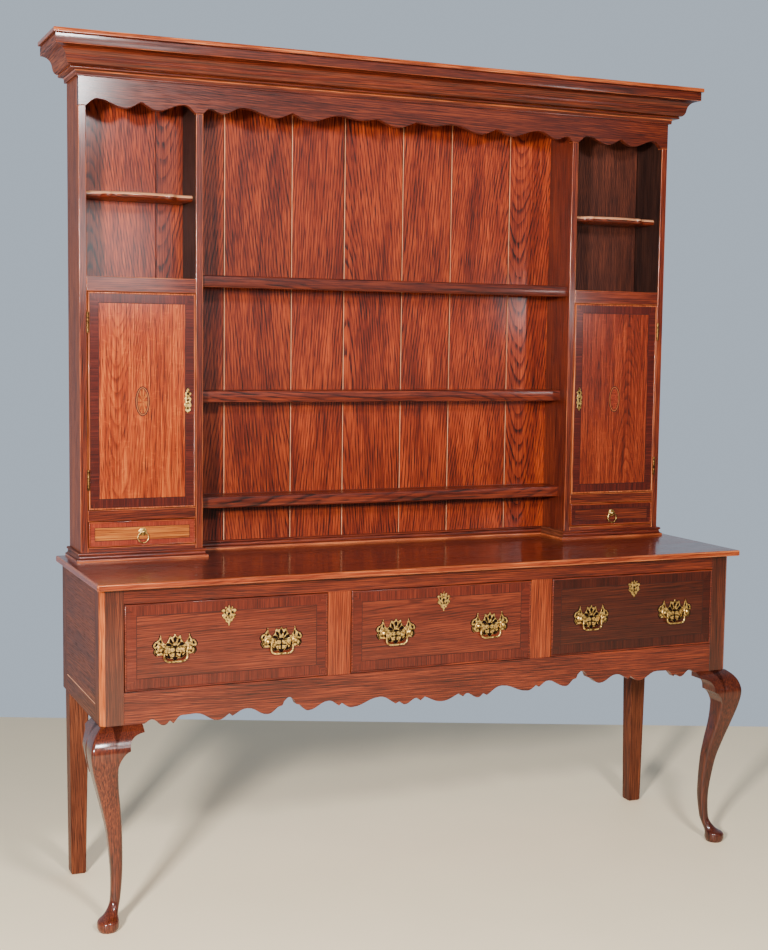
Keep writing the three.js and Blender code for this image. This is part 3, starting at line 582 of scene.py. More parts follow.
INNER_OAK = Timber(
    "inner_oak", (104, 66, 38), (162, 118, 76), (192, 150, 104), gloss=0.7, polish=0.0, figure=0.4,
    spread=0.10)
RAW_OAK = Timber(
    "raw_oak", (58, 36, 22), (104, 70, 44), (136, 98, 64), gloss=0.75, polish=0.0, figure=0.5,
    spread=0.05)
STRING = Plain("boxwood_string", stain(150, 80, 38), 0.5, shine=0.2)
# Grime and painted shade: a dark film under and round the brass plates, for dirt and for the shade
# at their edges and in their piercings.
GRIME_AND_SHADE = Plain("grime", stain(20, 9, 6), 0.8, shine=0.05)
EBONY = Plain("dark_string", stain(30, 12, 9), 0.5, shine=0.2)
# Painted shade: a dark block for the inside of a keyhole.
SLOT_SHADE = Plain("keyhole_dark", stain(10, 6, 5), 0.9, shine=0.05)
BRASS = Metal("cast_brass", stain(244, 204, 122), stain(90, 56, 24), 0.29)
OLD_BRASS = Metal("old_brass", stain(128, 90, 48), stain(40, 24, 13), 0.42)
FLOOR = Plain("floor", stain(255, 234, 196), 0.6, 3.0)


# Geometry


@dataclass(frozen=True)
class Block:
    """An upright box between two corners."""

    x0: float
    x1: float
    y0: float
    y1: float
    z0: float
    z1: float

    @classmethod
    def of(cls, node: str) -> "Block":
        """Returns the box of one of the frame's nodes."""
        low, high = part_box(node)
        return cls(low[0], high[0], low[1], high[1], low[2], high[2])

    @property
    def middle(self) -> Vector:
        """The middle of the box."""
        return Vector((self.x0 + self.x1, self.y0 + self.y1, self.z0 + self.z1)) / 2

    @property
    def front(self) -> list[Pair]:
        """The corners of its front."""
        return rectangle(self.x0, self.x1, self.z0, self.z1)

    def inset(self, by: float) -> "Block":
        """Returns the box with the edges of its front moved in."""
        return replace(self, x0=self.x0 + by, x1=self.x1 - by, z0=self.z0 + by, z1=self.z1 - by)

    def for_hand(self, hand: Hand) -> "Block":
        """Returns the box for a hand, where it was made for the right hand."""
        return self if hand is Hand.RIGHT else replace(self, x0=-self.x1, x1=-self.x0)


def rectangle(x0: float, x1: float, z0: float, z1: float) -> list[Pair]:
    """Returns the four corners of a rectangle."""
    return [(x0, z0), (x1, z0), (x1, z1), (x0, z1)]


def spread_out(pair: Pair, axis: Axis, depth: float) -> Vector:
    """Puts a point of a flat outline at a depth along an axis."""
    first, second = pair
    if axis is Axis.X:
        return Vector((depth, first, second))
    if axis is Axis.Y:
        return Vector((first, depth, second))
    return Vector((first, second, depth))


def raised(outline: Iterable[Pair], axis: Axis, depth: float) -> list[Vector]:
    """Puts a flat outline at a depth along an axis."""
    return [spread_out(pair, axis, depth) for pair in outline]


def scaled(shares: Iterable[Pair], width: float, height: float) -> list[Pair]:
    """Turns shares of a width and a height into lengths."""
    return [(x * width, z * height) for x, z in shares]


def doubled(half: Sequence[Station]) -> list[Station]:
    """Closes a loop whose right half runs from its top to its foot."""
    return [*half, *((-x, z, *sharp) for x, z, *sharp in reversed(half[1:-1]))]


def arc(centre: Pair, radius: float, start: float, stop: float, steps: int) -> list[Pair]:
    """Returns the points of an arc from one angle to another, both given in turns."""
    angles = [TURN * (start + (stop - start) * step / steps) for step in range(steps + 1)]
    return [(centre[0] + radius * math.cos(a), centre[1] + radius * math.sin(a)) for a in angles]


def bezier(points: Sequence[Pair], steps: int) -> list[Pair]:
    """Returns points on a curve drawn by two ends and one or two handles.

    Args:
        points: The first end, the handles and the last end.
        steps: The number of stretches.

    Returns:
        The points, without the first end.
    """
    degree = len(points) - 1
    curve = []
    for step in range(1, steps + 1):
        way = step / steps
        weights = [
            math.comb(degree, place) * way ** place * (1 - way) ** (degree - place)
            for place in range(degree + 1)
        ]
        curve.append(tuple(
            sum(weight * point[axis] for weight, point in zip(weights, points))
            for axis in range(2)
        ))
    return curve


def scalloped(stations: Sequence[Station]) -> list[Pair]:
    """Draws a scalloped edge, round at its crests and lobes and sharp at its points.

    Args:
        stations: Each place and height, and True after them where the point is sharp.

    Returns:
        The edge's points, both ends included.
    """
    reach_share, steps = 0.42, 6
    edge = [stations[0][:2]]
    for (x0, z0, *sharp0), (x1, z1, *sharp1) in zip(stations, stations[1:]):
        reach = reach_share * (x1 - x0)
        rise0 = (z1 - z0) / 2 if sharp0 else 0
        rise1 = (z1 - z0) / 2 if sharp1 else 0
        edge += bezier(
            [(x0, z0), (x0 + reach, z0 + rise0), (x1 - reach, z1 - rise1), (x1, z1)], steps)
    return edge


def scalloped_edge(shares: Sequence[Station], middle: float, half: float, low: float,
                   height: float) -> list[Pair]:
    """Draws a whole scalloped edge from left to right, mirrored about its middle.

    Args:
        shares: The stations from the middle out, as shares of the half width and the height.
        middle: The place of the middle.
        half: The half width.
        low: The level of share 0.
        height: The height of share 1 over it.

    Returns:
        The edge's points.
    """
    right = [(middle + x * half, low + z * height, *sharp) for x, z, *sharp in shares]
    left = [(2 * middle - x, z, *sharp) for x, z, *sharp in reversed(right)]
    return scalloped(left + right[1:])


def spline_value(values: Sequence[float], way: float) -> float:
    """Returns a value on a smooth run through equally spaced values.

    Args:
        values: The values that the run passes through.
        way: The way along the run, from 0 to 1.

    Returns:
        The value there.
    """
    last = len(values) - 1
    place = min(last * way, last - 1e-9)
    index = int(place)
    rest = place - index
    before, here = values[max(index - 1, 0)], values[index]
    after, beyond = values[min(index + 1, last)], values[min(index + 2, last)]
    slope0, slope1 = (after - before) / 2, (beyond - here) / 2
    return (
        (2 * here - 2 * after + slope0 + slope1) * rest ** 3
        + (3 * after - 3 * here - 2 * slope0 - slope1) * rest ** 2 + slope0 * rest + here
    )


@dataclass
class Blank:
    """A mesh on the bench: its corners, its faces and the finish of each face."""

    corners: list[Vector] = field(default_factory=list)
    faces: list[tuple[int, ...]] = field(default_factory=list)
    finishes: list[int] = field(default_factory=list)

    def add_face(self, points: Sequence[Vector], finish: int = 0) -> "Blank":
        """Adds one face of its own corners."""
        start = len(self.corners)
        self.corners += [point.copy() for point in points]
        self.faces.append(tuple(range(start, start + len(points))))
        self.finishes.append(finish)
        return self

    def add_skin(self, rings: Sequence[Sequence[Vector]], finish: int = 0,
                 finishes: Optional[Sequence[int]] = None, loop: bool = False,
                 caps: tuple[bool, bool] = (True, True)) -> "Blank":
        """Adds a skin over rings of points.

        Args:
            rings: Rings with as many points each.
            finish: The finish of the skin.
            finishes: The finish of each stretch, where they differ.
            loop: Whether the last ring joins the first.
            caps: Whether the first and the last ring are closed by a face.

        Returns:
            The blank itself.
        """
        start, sides = len(self.corners), len(rings[0])
        self.corners += [point.copy() for ring in rings for point in ring]
        stretches = len(rings) if loop else len(rings) - 1
        for level in range(stretches):
            low = start + level * sides
            high = start + (level + 1) % len(rings) * sides
            for side in range(sides):
                beside = (side + 1) % sides
                self.faces.append((low + side, low + beside, high + beside, high + side))
                self.finishes.append(finishes[level] if finishes else finish)
        for ring, wanted in zip((0, len(rings) - 1), caps):
            if wanted and not loop:
                self.faces.append(tuple(start + ring * sides + side for side in range(sides)))
                self.finishes.append(finish)
        return self

    def add_prism(self, outline: Sequence[Pair], axis: Axis, start: float,
                  stop: float) -> "Blank":
        """Adds a flat outline run along an axis from start to stop."""
        return self.add_skin([raised(outline, axis, depth) for depth in (start, stop)])

    def add_block(self, block: Block) -> "Blank":
        """Adds a box."""
        return self.add_prism(block.front, Axis.Y, block.y0, block.y1)

    def add_turned(self, profile: Sequence[Pair], base: Vector, axis: Axis,
                   sides: int) -> "Blank":
        """Adds a turned form.

        Args:
            profile: Pairs of a radius and a height along the axis.
            base: The foot of the axis.
            axis: The axis that it is turned about.
            sides: The number of sides.

        Returns:
            The blank itself.
        """
        offsets = [
            (radius * math.cos(TURN * side / sides), radius * math.sin(TURN * side / sides), up)
            for radius, up in profile for side in range(sides)
        ]
        points = [base + spread_out((u, v), axis, up) for u, v, up in offsets]
        return self.add_skin(
            [points[place:place + sides] for place in range(0, len(points), sides)])

    def add_tube(self, path: Sequence[Vector], radii: Sequence[float],
                 loop: bool = False) -> "Blank":
        """Adds a round bar along a path that lies in one plane.

        Args:
            path: The points of its middle line.
            radii: Its radius at each point.
            loop: Whether the bar joins up with itself.

        Returns:
            The blank itself.
        """
        count, sides = len(path), 12
        normal = plane_normal(path)
        rings = []
        for place, point in enumerate(path):
            before = path[(place - 1) % count] if loop else path[max(place - 1, 0)]
            after = path[(place + 1) % count] if loop else path[min(place + 1, count - 1)]
            heading = (after - before).normalized()
            aside = normal.cross(heading).normalized()
            rings.append([
                point + radii[place] * (math.cos(TURN * side / sides) * aside
                                        + math.sin(TURN * side / sides) * normal)
                for side in range(sides)
            ])
        return self.add_skin(rings, loop=loop)

    def add_run(self, section: Sequence[Pair], path: Sequence[Pair], bottom: float,
                finishes: Sequence[int], wear_and_sheen: Sequence[int]) -> "Blank":
        """Adds a moulding run round a path on the plan, mitred at its corners.

        Args:
            section: Pairs of the projection and the height.
            path: The plan's corners, with the moulding on the right hand side.
            bottom: The level of height 0.
            finishes: The finish of each stretch.
            wear_and_sheen: The sides of the section that take finish 2, the lighter wood of wear
                and painted highlight.

        Returns:
            The blank itself.
        """
        start, sides = len(self.finishes), len(section)
        places = [Vector((x, y)) for x, y in path]
        headings = [(b - a).normalized() for a, b in zip(places, places[1:])]
        normals = [Vector((heading.y, -heading.x)) for heading in headings]
        rings = []
        for corner, place in enumerate(places):
            before = normals[max(corner - 1, 0)]
            after = normals[min(corner, len(normals) - 1)]
            mitre = (before + after) / (1 + before.dot(after))
            rings.append([
                Vector((place.x + out * mitre.x, place.y + out * mitre.y, bottom + up))
                for out, up in section
            ])
        self.add_skin(rings, finishes[0], finishes)
        for stretch in range(len(finishes)):
            for side in wear_and_sheen:
                self.finishes[start + stretch * sides + side] = 2
        return self

    def add_frame(self, section: Sequence[Pair], block: Block) -> "Blank":
        """Adds a small moulding run round the front of a box.

        Args:
            section: Pairs of the distance in from the edge and the height off the face.
            block: The box.

        Returns:
            The blank itself.
        """
        rings = []
        for x, z, dx, dz in (
            (block.x0, block.z0, 1, 1), (block.x1, block.z0, -1, 1),
            (block.x1, block.z1, -1, -1), (block.x0, block.z1, 1, -1),
        ):
            rings.append([Vector((x + dx * a, block.y0 - b, z + dz * a)) for a, b in section])
        return self.add_skin(rings, loop=True)

    def add_banded_board(self, block: Block, widths: Pair, back: int) -> "Blank":
        """Adds a board whose front has a crossband and a string, both mitred, round a field.

        Args:
            block: The board's box.
            widths: The widths of the crossband, finish 1 and 2, and of the string, finish 3.
            back: The finish of its sides and back.

        Returns:
            The blank itself.
        """
        inset, outer = 0.0, block.front
        for width, finishes in zip(widths, ((1, 2), (3, 3))):
            inset += width
            inner = block.inset(inset).front
            for side in range(4):
                beside = (side + 1) % 4
                strip = [outer[side], outer[beside], inner[beside], inner[side]]
                self.add_face(raised(strip, Axis.Y, block.y0), finishes[side % 2])
            outer = inner
        self.add_face(raised(outer, Axis.Y, block.y0))
        rings = [raised(block.front, Axis.Y, depth) for depth in (block.y0, block.y1)]
        return self.add_skin(rings, back, caps=(False, True))

    def for_hand(self, hand: Hand) -> "Blank":
        """Returns the blank for a hand, where it was made for the right hand."""
        if hand is Hand.RIGHT:
            return self
        corners = [Vector((-corner.x, corner.y, corner.z)) for corner in self.corners]
        return Blank(corners, list(self.faces), list(self.finishes))

    @classmethod
    def taken_from(cls, piece: bpy.types.Object) -> "Blank":
        """Takes the form of an object, with its modifiers."""
        view = bpy.context.evaluated_depsgraph_get()
        mesh = bpy.data.meshes.new_from_object(piece.evaluated_get(view))
        faces = [tuple(polygon.vertices) for polygon in mesh.polygons]
        blank = cls([vertex.co.copy() for vertex in mesh.vertices], faces, [0] * len(faces))
        bpy.data.meshes.remove(mesh)
        return blank

    def extend(self, other: "Blank") -> "Blank":
        """Adds another blank's faces to this one."""
        start = len(self.corners)
        self.corners += [corner.copy() for corner in other.corners]
        self.faces += [tuple(start + corner for corner in face) for face in other.faces]
        self.finishes += other.finishes
        return self

    def mesh(self, name: str, weld: bool = False) -> bpy.types.Mesh:
        """Turns the blank into a mesh whose faces point out.

        Args:
            name: The mesh's name.
            weld: Whether corners that meet become one.

        Returns:
            The mesh.
        """
        mesh = bpy.data.meshes.new(name)
        mesh.from_pydata([tuple(corner) for corner in self.corners], [], self.faces)
        for polygon, finish in zip(mesh.polygons, self.finishes):
            polygon.material_index = finish
        bench = bmesh.new()
        bench.from_mesh(mesh)
        if weld:
            bmesh.ops.remove_doubles(bench, verts=bench.verts, dist=1e-6)
        bmesh.ops.recalc_face_normals(bench, faces=bench.faces)
        bench.to_mesh(mesh)
        bench.free()
        return mesh


def stand(name: str, data: Any) -> bpy.types.Object:
    """Puts a new object with the given data into the scene."""
    piece = bpy.data.objects.new(name, data)
    bpy.context.scene.collection.objects.link(piece)
    return piece


def plane_normal(path: Sequence[Vector]) -> Vector:
    """Returns the normal of the plane that a bent path lies in."""
    total = Vector((0, 0, 0))
    for before, here, after in zip(path, path[1:], path[2:]):
        total += (here - before).cross(after - here)
    return total.normalized()


def common_form(first: Blank, second: Blank) -> Blank:
    """Returns what two blanks have in common.

    Args:
        first: One blank.
        second: The other.

    Returns:
        The form that lies in both.
    """
    pieces = [stand(name, blank.mesh(name)) for name, blank in (("kept", first), ("tool", second))]
    cutter = pieces[0].modifiers.new("common", "BOOLEAN")
    cutter.operation = "INTERSECT"
    cutter.solver = "EXACT"
    cutter.object = pieces[1]
    result = Blank.taken_from(pieces[0])
    for piece in pieces:
        held = piece.data
        bpy.data.objects.remove(piece)
        bpy.data.meshes.remove(held)
    return result


@dataclass
class CurveSheet:
    """A thin sheet with a curved outline and piercings, cut from a flat curve.

    Attributes:
        outline: The outline's points, with True after those that are sharp.
        piercings: The piercings' points, in the same form.
        thickness: The sheet's thickness.
        arris: The round of its edges.
    """

    outline: Sequence[Station]
    piercings: Sequence[Sequence[Station]]
    thickness: float
    arris: float = 0.0003

    def blank(self, middle: Vector) -> Blank:
        """Cuts the sheet with its back on the plane through a point, facing the front.

        Args:
            middle: The point of the back that the outline's origin lies on.

        Returns:
            The sheet.
        """
        curve = bpy.data.curves.new("sheet", "CURVE")
        curve.dimensions = "2D"
        curve.fill_mode = "BOTH"
        curve.resolution_u = 5
        curve.extrude = self.thickness / 2 - self.arris
        curve.bevel_depth = self.arris
        curve.bevel_resolution = 1
        curve.offset = -self.arris
        for loop in (self.outline, *self.piercings):
            self._add_loop(curve, loop)
        piece = stand("sheet", curve)
        sheet = Blank.taken_from(piece)
        depth = middle.y - self.thickness / 2
        sheet.corners = [
            Vector((middle.x + x, depth - z, middle.z + y)) for x, y, z in sheet.corners
        ]
        bpy.data.objects.remove(piece)
        bpy.data.curves.remove(curve)
        return sheet

    def grime(self, middle: Vector) -> Blank:
        """Lays a dark film under and around the sheet, as a second finish: grime, and painted shade
        at its edges and in its piercings.
        """
        spread, thickness, arris = 1.06, 0.0003, 0.0001
        wider = [(x * spread, z * spread, *sharp) for x, z, *sharp in self.outline]
        grime = CurveSheet(wider, [], thickness, arris).blank(middle)
        grime.finishes = [1] * len(grime.faces)
        return grime

    @staticmethod
    def _add_loop(curve: bpy.types.Curve, loop: Sequence[Station]) -> None:
        """Adds one closed loop of the sheet to a curve."""
        spline = curve.splines.new("BEZIER")
        spline.bezier_points.add(len(loop) - 1)
        spline.use_cyclic_u = True
        for point, (x, z, *sharp) in zip(spline.bezier_points, loop):
            point.co = (x, z, 0)
            handle = "VECTOR" if sharp else "AUTO"
            point.handle_left_type = handle
            point.handle_right_type = handle


class Bench:
    """Turns blanks into finished pieces of the dresser."""

    smooth_angle = math.radians(40)
    arris_angle = math.radians(32)

    def place(self, name: str, blank: Blank, materials: Sequence[bpy.types.Material],
              body: str = CARCASS, node: Optional[str] = None, slot: str = "case_oak",
              arris: float = 0.0, steps: int = 2, weld: bool = False,
              rubbed: Optional[bpy.types.Material] = None) -> bpy.types.Object:
        """Makes a piece and seats it on its body.

        Args:
            name: The piece's name.
            blank: Its form.
            materials: Its materials, in the order of the blank's finishes.
            body: The body that it moves with.
            node: The frame's node that it stands for.
            slot: The record's material slot; not used.
            arris: The width of the round along its sharp edges, or 0.
            steps: The number of stretches across that round.
            weld: Whether corners that meet become one.
            rubbed: The material of the round, lighter for wear and for a painted highlight along
                the edge.

        Returns:
            The piece.
        """
        piece = stand(name, blank.mesh(name, weld))
        for material in materials:
            piece.data.materials.append(material)
        piece.data.shade_smooth()
        if arris:
            edge = piece.modifiers.new("arris", "BEVEL")
            edge.width = arris
            edge.segments = steps
            edge.limit_method = "ANGLE"
            edge.angle_limit = self.arris_angle
            edge.harden_normals = True
            # The round takes a lighter wood, for wear and for a painted highlight along the edge.
            if rubbed:
                piece.data.materials.append(rubbed)
                edge.material = len(materials)
        else:
            piece.data.set_sharp_from_angle(angle=self.smooth_angle)
        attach(piece, body)
        if node:
            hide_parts(node)
        LOG.info("%s rides on %s", name, body)
        return piece

    def board(self, name: str, block: Block, timber: Timber, cut: Cut,
              node: Optional[str] = None, slot: str = "case_oak", arris: float = ARRIS,
              rubbed: bool = False) -> bpy.types.Object:
        """Makes a plain board of the carcass.

        Args:
            name: The board's name.
            block: Its box.
            timber: Its wood.
            cut: How it lies.
            node: The frame's node that it stands for.
            slot: The record's material slot.
            arris: The width of the round along its edges.
            rubbed: Whether that round takes the lighter wood of wear and painted highlight.

        Returns:
            The piece.
        """
        material = timber.material(cut, block.middle, name)
        # The round may take the lighter wood of wear and painted highlight.
        wear_and_sheen = WEAR_AND_SHEEN_OAK.material(cut, block.middle, f"{name}_edge") if rubbed else None
        return self.place(name, Blank().add_block(block), [material], CARCASS, node, slot,
                          arris, rubbed=wear_and_sheen)


def half_round(width: float, height: float, sunk: float) -> list[Pair]:
    """Returns the section of a bead: in from the edge, and off the face.

    Args:
        width: The bead's width.
        height: Its height off the face.
        sunk: How far it reaches into the face.

    Returns:
        The section's corners.
    """
    straight, steps = 0.35, 6
    angles = [math.pi * step / steps for step in range(steps + 1)]
    crown = [
        (width / 2 - width / 2 * math.cos(angle),
         height * straight + height * (1 - straight) * math.sin(angle))
        for angle in angles
    ]
    return [(0.0, -sunk), *crown, (width, -sunk)]


@dataclass
class Front:
    """A door's or drawer's front: a field in a string and crossbanding, with a bead round it.

    Attributes:
        body: The body that it moves with, whose name starts the names of its finishes.
        box: Its box, with the bead.
        middle: The place that the grain is laid out from.
        cut: How its field and its bead lie.
        timber: The field's wood, beside the crossbanding's veneer and the bead's edge.
        widths: The widths of the crossbanding and the string.
        backed: Whether its sides and back are of bare wood.
        tone: How light it is.
    """

    bench: Bench
    body: str
    box: Block
    middle: Vector
    cut: Cut
    timber: Timber
    veneer: Timber
    edge: Timber
    widths: Pair
    backed: bool = True
    tone: float = 1.0
    bead_width: float = 0.004
    bead_height: float = 0.0025

    def build(self, name: str, node: str, slot: str) -> None:
        """Makes the panel and its bead.

        Args:
            name: The panel's name.
            node: The frame's node that it stands for.
            slot: The record's material slot.
        """
        box = self.box
        materials = [
            timber.material(cut, self.middle, f"{self.body}_{ending}", self.tone)
            for timber, cut, ending in (
                (self.timber, self.cut, "field"), (self.veneer, Cut.STILE, "level"),
                (self.veneer, Cut.RAIL, "upright"))
        ]
        materials.append(EBONY.material())
        if self.backed:
            materials.append(INNER_OAK.material(self.cut, self.middle, f"{self.body}_back"))
        back = 4 if self.backed else 0
        blank = Blank().add_banded_board(box.inset(self.bead_width), self.widths, back)
        self.bench.place(name, blank, materials, self.body, node, slot, weld=True)
        section = half_round(self.bead_width, self.bead_height, box.y1 - box.y0)
        material = self.edge.material(self.cut, self.middle, f"{self.body}_bead")
        self.bench.place(f"{self.body}_bead", Blank().add_frame(section, box), [material],
                         self.body, slot=slot)


def key_slot(z: float, radius: float, drop: float) -> list[Station]:
    """Draws a keyhole: a round top at a height, and a slot that reaches down from there."""
    waist = radius * 0.45
    return [
        (0.0, z + radius), (radius, z), (waist, z - radius, True),
        (waist, z - drop, True), (-waist, z - drop, True), (-waist, z - radius, True),
        (-radius, z),
    ]


def diamond(x: float, z: float, half_width: float, half_height: float) -> list[Station]:
    """Draws a small lozenge with hollow sides."""
    return [
        (x, z + half_height, True), (x + half_width, z), (x, z - half_height, True),
        (x - half_width, z),
    ]


@dataclass(frozen=True)
class KeyholePlate:
    """A pierced keyhole plate, with a dark block behind it that paints the shade inside the
    keyhole.

    Attributes:
        half: The right half of its outline, from its top to its foot.
        piercings: Its piercings.
        thickness: Its thickness.
        hole: The half width of that dark block and its lowest and highest level.
    """

    half: Sequence[Station]
    piercings: Sequence[Sequence[Station]]
    thickness: float
    hole: tuple[float, float, float]

    def build(self, bench: Bench, body: str, middle: Vector, face: float, slot: str) -> None:
        """Makes the plate and the dark block of painted shade in its keyhole.

        Args:
            bench: The bench that they are made on.
            body: The body that they move with.
            middle: The place of the plate's middle.
            face: The level of the face that it lies on.
            slot: The record's slot of the dark block.
        """
        sheet = CurveSheet(doubled(self.half), self.piercings, self.thickness)
        # The dark film paints the shade in the piercings and round the edge, with grime.
        plate = sheet.blank(middle).extend(sheet.grime(middle))
        bench.place(f"{body}_keyhole_plate", plate, [BRASS.material(), GRIME_AND_SHADE.material()], body,
                    slot="brass")
        # A dark block paints the shade inside the keyhole.
        width, low, high = self.hole
        proud, deep = 0.0002, 0.001
        hole = Block(middle.x - width, middle.x + width, face - proud, face + deep,
                     middle.z + low, middle.z + high)
        bench.place(f"{body}_keyhole", Blank().add_block(hole), [SLOT_SHADE.material()], body, slot=slot)


# The rack


@dataclass
class RackCase:
    """The rack's sides, uprights, boards, shelves and backs."""

    bench: Bench
    arris: float = 0.0016
    lip_thickness: float = 0.016
    shelf_board: float = 0.014
    plate_groove: float = 0.004
    plate_groove_back: float = 0.045
    shelf_tones: tuple[tuple[str, float], ...] = (
        ("upper", 0.72), ("middle", 0.98), ("lower", 1.08))
    tongue: float = 0.0022
    joint_depth: float = 0.0012
    joint_gap: float = 0.0016
    joint_round: float = 0.0016
    joint_shares: tuple[float, ...] = (
        -0.75, -0.531, -0.305, -0.122, 0.086, 0.265, 0.487, 0.745)
    # The joints whose tongue is painted pale as the light that shows through them.
    bright_joints: tuple[int, ...] = (2, 3, 4, 5, 6, 7)
    plank_tones: tuple[float, ...] = (0.98, 0.78, 0.80, 0.95, 1.0, 1.05, 1.08, 1.04, 1.1)
    shaped_shelf_shares: tuple[Station, ...] = (
        (0, 1), (0.50, 0.62, True), (0.56, 0.74), (0.70, 0.10, True), (0.76, 0, True), (1, 0, True))
    shaped_bow: float = 0.024
    shaped_rolls: tuple[Pair, ...] = (
        (0.0, 0.006), (0.12, 0.0025), (0.35, 0.0003), (0.55, 0.0), (0.75, 0.0012), (0.9, 0.0035),
        (1.0, 0.008))
    # How many stretches of the shaped shelves' front edge are painted pale as a highlight.
    bare_stretches: int = 3
    nose: float = 0.003
    rail_depth: float = 0.018
    pier_board_thickness: float = 0.014
    outer_side_tone: float = 1.35
    grain_level: float = 1.5

    def build(self) -> None:
        """Builds all the pieces."""
        for hand in Hand:
            self.upright(f"{hand.word}_outer_side", END_OAK, -hand.value, self.outer_side_tone)
            self.upright(f"{hand.word}_inner_upright", CASE_OAK, hand.value)
            self.shaped_shelf(f"{hand.word}_shaped_shelf")
            for ending in ("compartment_floor", "cupboard_floor", "pier_bottom"):
                self.pier_board(f"{hand.word}_{ending}")
        for place, tone in self.shelf_tones:
            self.plate_shelf(f"{place}_plate_shelf", tone)
        self.backboards()
        self.bench.board("rack_top_board", Block.of("rack_top_board"), SHELF_OAK, Cut.SHELF,
                         node="rack_top_board", slot="shelf_oak")

    def upright(self, name: str, timber: Timber, pier: int, tone: float = 1.0) -> None:
        """Makes one upright board of the rack, with the frieze let into its front edge.

        Args:
            name: The board's name.
            timber: Its wood.
            pier: The side on which it faces the inside of a pier, -1 for the left; that face takes
                a dark wood as painted shade.
            tone: How light it is.
        """
        block, frieze = Block.of(name), Block.of("scalloped_frieze")
        outline = [
            (block.y0, block.z0), (block.y1, block.z0), (block.y1, block.z1),
            (frieze.y1, block.z1), (frieze.y1, frieze.z0), (block.y0, frieze.z0),
        ]
        blank = Blank().add_prism(outline, Axis.X, block.x0, block.x1)
        # The face inside the pier takes a dark wood as painted shade.
        pier_side_shade, front = (-2 if pier < 0 else -1), 5
        blank.finishes[pier_side_shade], blank.finishes[front] = 1, 2
        materials = [
            timber.material(Cut.SIDE, block.middle, name, tone),
            PIER_SIDE_SHADE_OAK.material(Cut.SIDE, block.middle, f"{name}_inside"),
            CASE_OAK.material(Cut.STILE, block.middle, f"{name}_front"),
        ]
        # The round along its edges takes the lighter wood of wear and painted highlight.
        wear_and_sheen = WEAR_AND_SHEEN_OAK.material(Cut.STILE, block.middle, f"{name}_edge")
        self.bench.place(name, blank, materials, node=name, arris=self.arris, steps=3,
                         rubbed=wear_and_sheen)

    def shaped_shelf(self, name: str) -> None:
        """Makes the shaped shelf of one pier, whose front edge is painted pale as a highlight."""
        block = Block.of(name)
        half = (block.x1 - block.x0) / 2
        edge = scalloped_edge(
            self.shaped_shelf_shares, block.middle.x, half, block.y0 + self.shaped_bow,
            -self.shaped_bow)
        outline = [(block.x1, block.y1), (block.x0, block.y1), *edge]
        thickness = block.z1 - block.z0
        rings = [
            [Vector((x, y + inset * (place > 1), block.z0 + share * thickness))
             for place, (x, y) in enumerate(outline)]
            for share, inset in self.shaped_rolls
        ]
        # The top stretches of the front edge take a pale wood as a painted highlight.
        stretches = len(rings) - 1
        bare = stretches - self.bare_stretches
        blank = Blank().add_skin(rings, 0, [int(place >= bare) for place in range(stretches)])
        materials = [
            SHELF_OAK.material(Cut.SHELF, block.middle, name),
            PAINTED_LIGHT_OAK.material(Cut.RAIL, block.middle, f"{name}_front"),
        ]
        self.bench.place(name, blank, materials, node=name, slot="shelf_oak")

    def pier_board(self, name: str) -> None:
        """Makes one board of a pier with the rail along its front."""
        block = Block.of(name)
        rail = replace(block, y1=block.y0 + self.rail_depth)
        board = replace(block, y0=rail.y1, z0=block.z1 - self.pier_board_thickness)
        # The rail's round takes the lighter wood of wear and painted highlight.
        self.bench.board(f"{name}_rail", rail, CASE_OAK, Cut.RAIL, node=name, rubbed=True)
        self.bench.board(f"{name}_board", board, CASE_OAK, Cut.SHELF)

    def plate_shelf(self, name: str, tone: float) -> None:
        """Makes one plate shelf, with its lip and its groove for the plates' rims."""
        block, nose, groove = Block.of(name), self.nose, self.plate_groove
        back, lip = block.y1 - self.plate_groove_back, block.y0 + self.lip_thickness
        underside = block.z1 - self.shelf_board
        outline = [
            *arc((block.y0 + nose, block.z0 + nose), nose, 0.75, 0.5, 4),
            *arc((block.y0 + nose, block.z1 - nose), nose, 0.5, 0.25, 4),
            (back - groove, block.z1), (back, block.z1 - groove / 2), (back + groove, block.z1),
            (block.y1, block.z1), (block.y1, underside), (lip, underside), (lip, block.z0),
        ]
        blank = Blank().add_prism(outline, Axis.X, block.x0, block.x1)
        material = SHELF_OAK.material(Cut.SHELF, block.middle, name, tone)
        self.bench.place(name, blank, [material], node=name, slot="shelf_oak")

    def backboards(self) -> None:
        """Makes the planks behind the shelves, each with a pale edge beside its joint, painted as
        the light that shows through the joint.
        """
        block = Block.of("rack_backboards")
        joints = [share * block.x1 for share in self.joint_shares]
        edges = [block.x0, *joints, block.x1]
        front, strip = block.y0, block.y0 + self.joint_depth
        for index, (x0, x1) in enumerate(zip(edges, edges[1:])):
            name, end = f"backboard_{index + 1}", x1 - self.joint_gap
            outline = [
                (x0, block.y1), (x0, strip), (x0 + self.tongue, strip), (x0 + self.tongue, front),
                (end - self.joint_round, front), (end, front + self.joint_round), (end, block.y1),
            ]
            if index == 0:
                outline[1:4] = [(x0, front)]
            blank = Blank().add_prism(outline, Axis.Z, block.z0, block.z1)
            # The tongue in the joint is painted pale as the light that shows through the joint.
            if index in self.bright_joints:
                blank.finishes[1] = 1
            rear = len(outline) - 1
            blank.finishes[rear] = 2
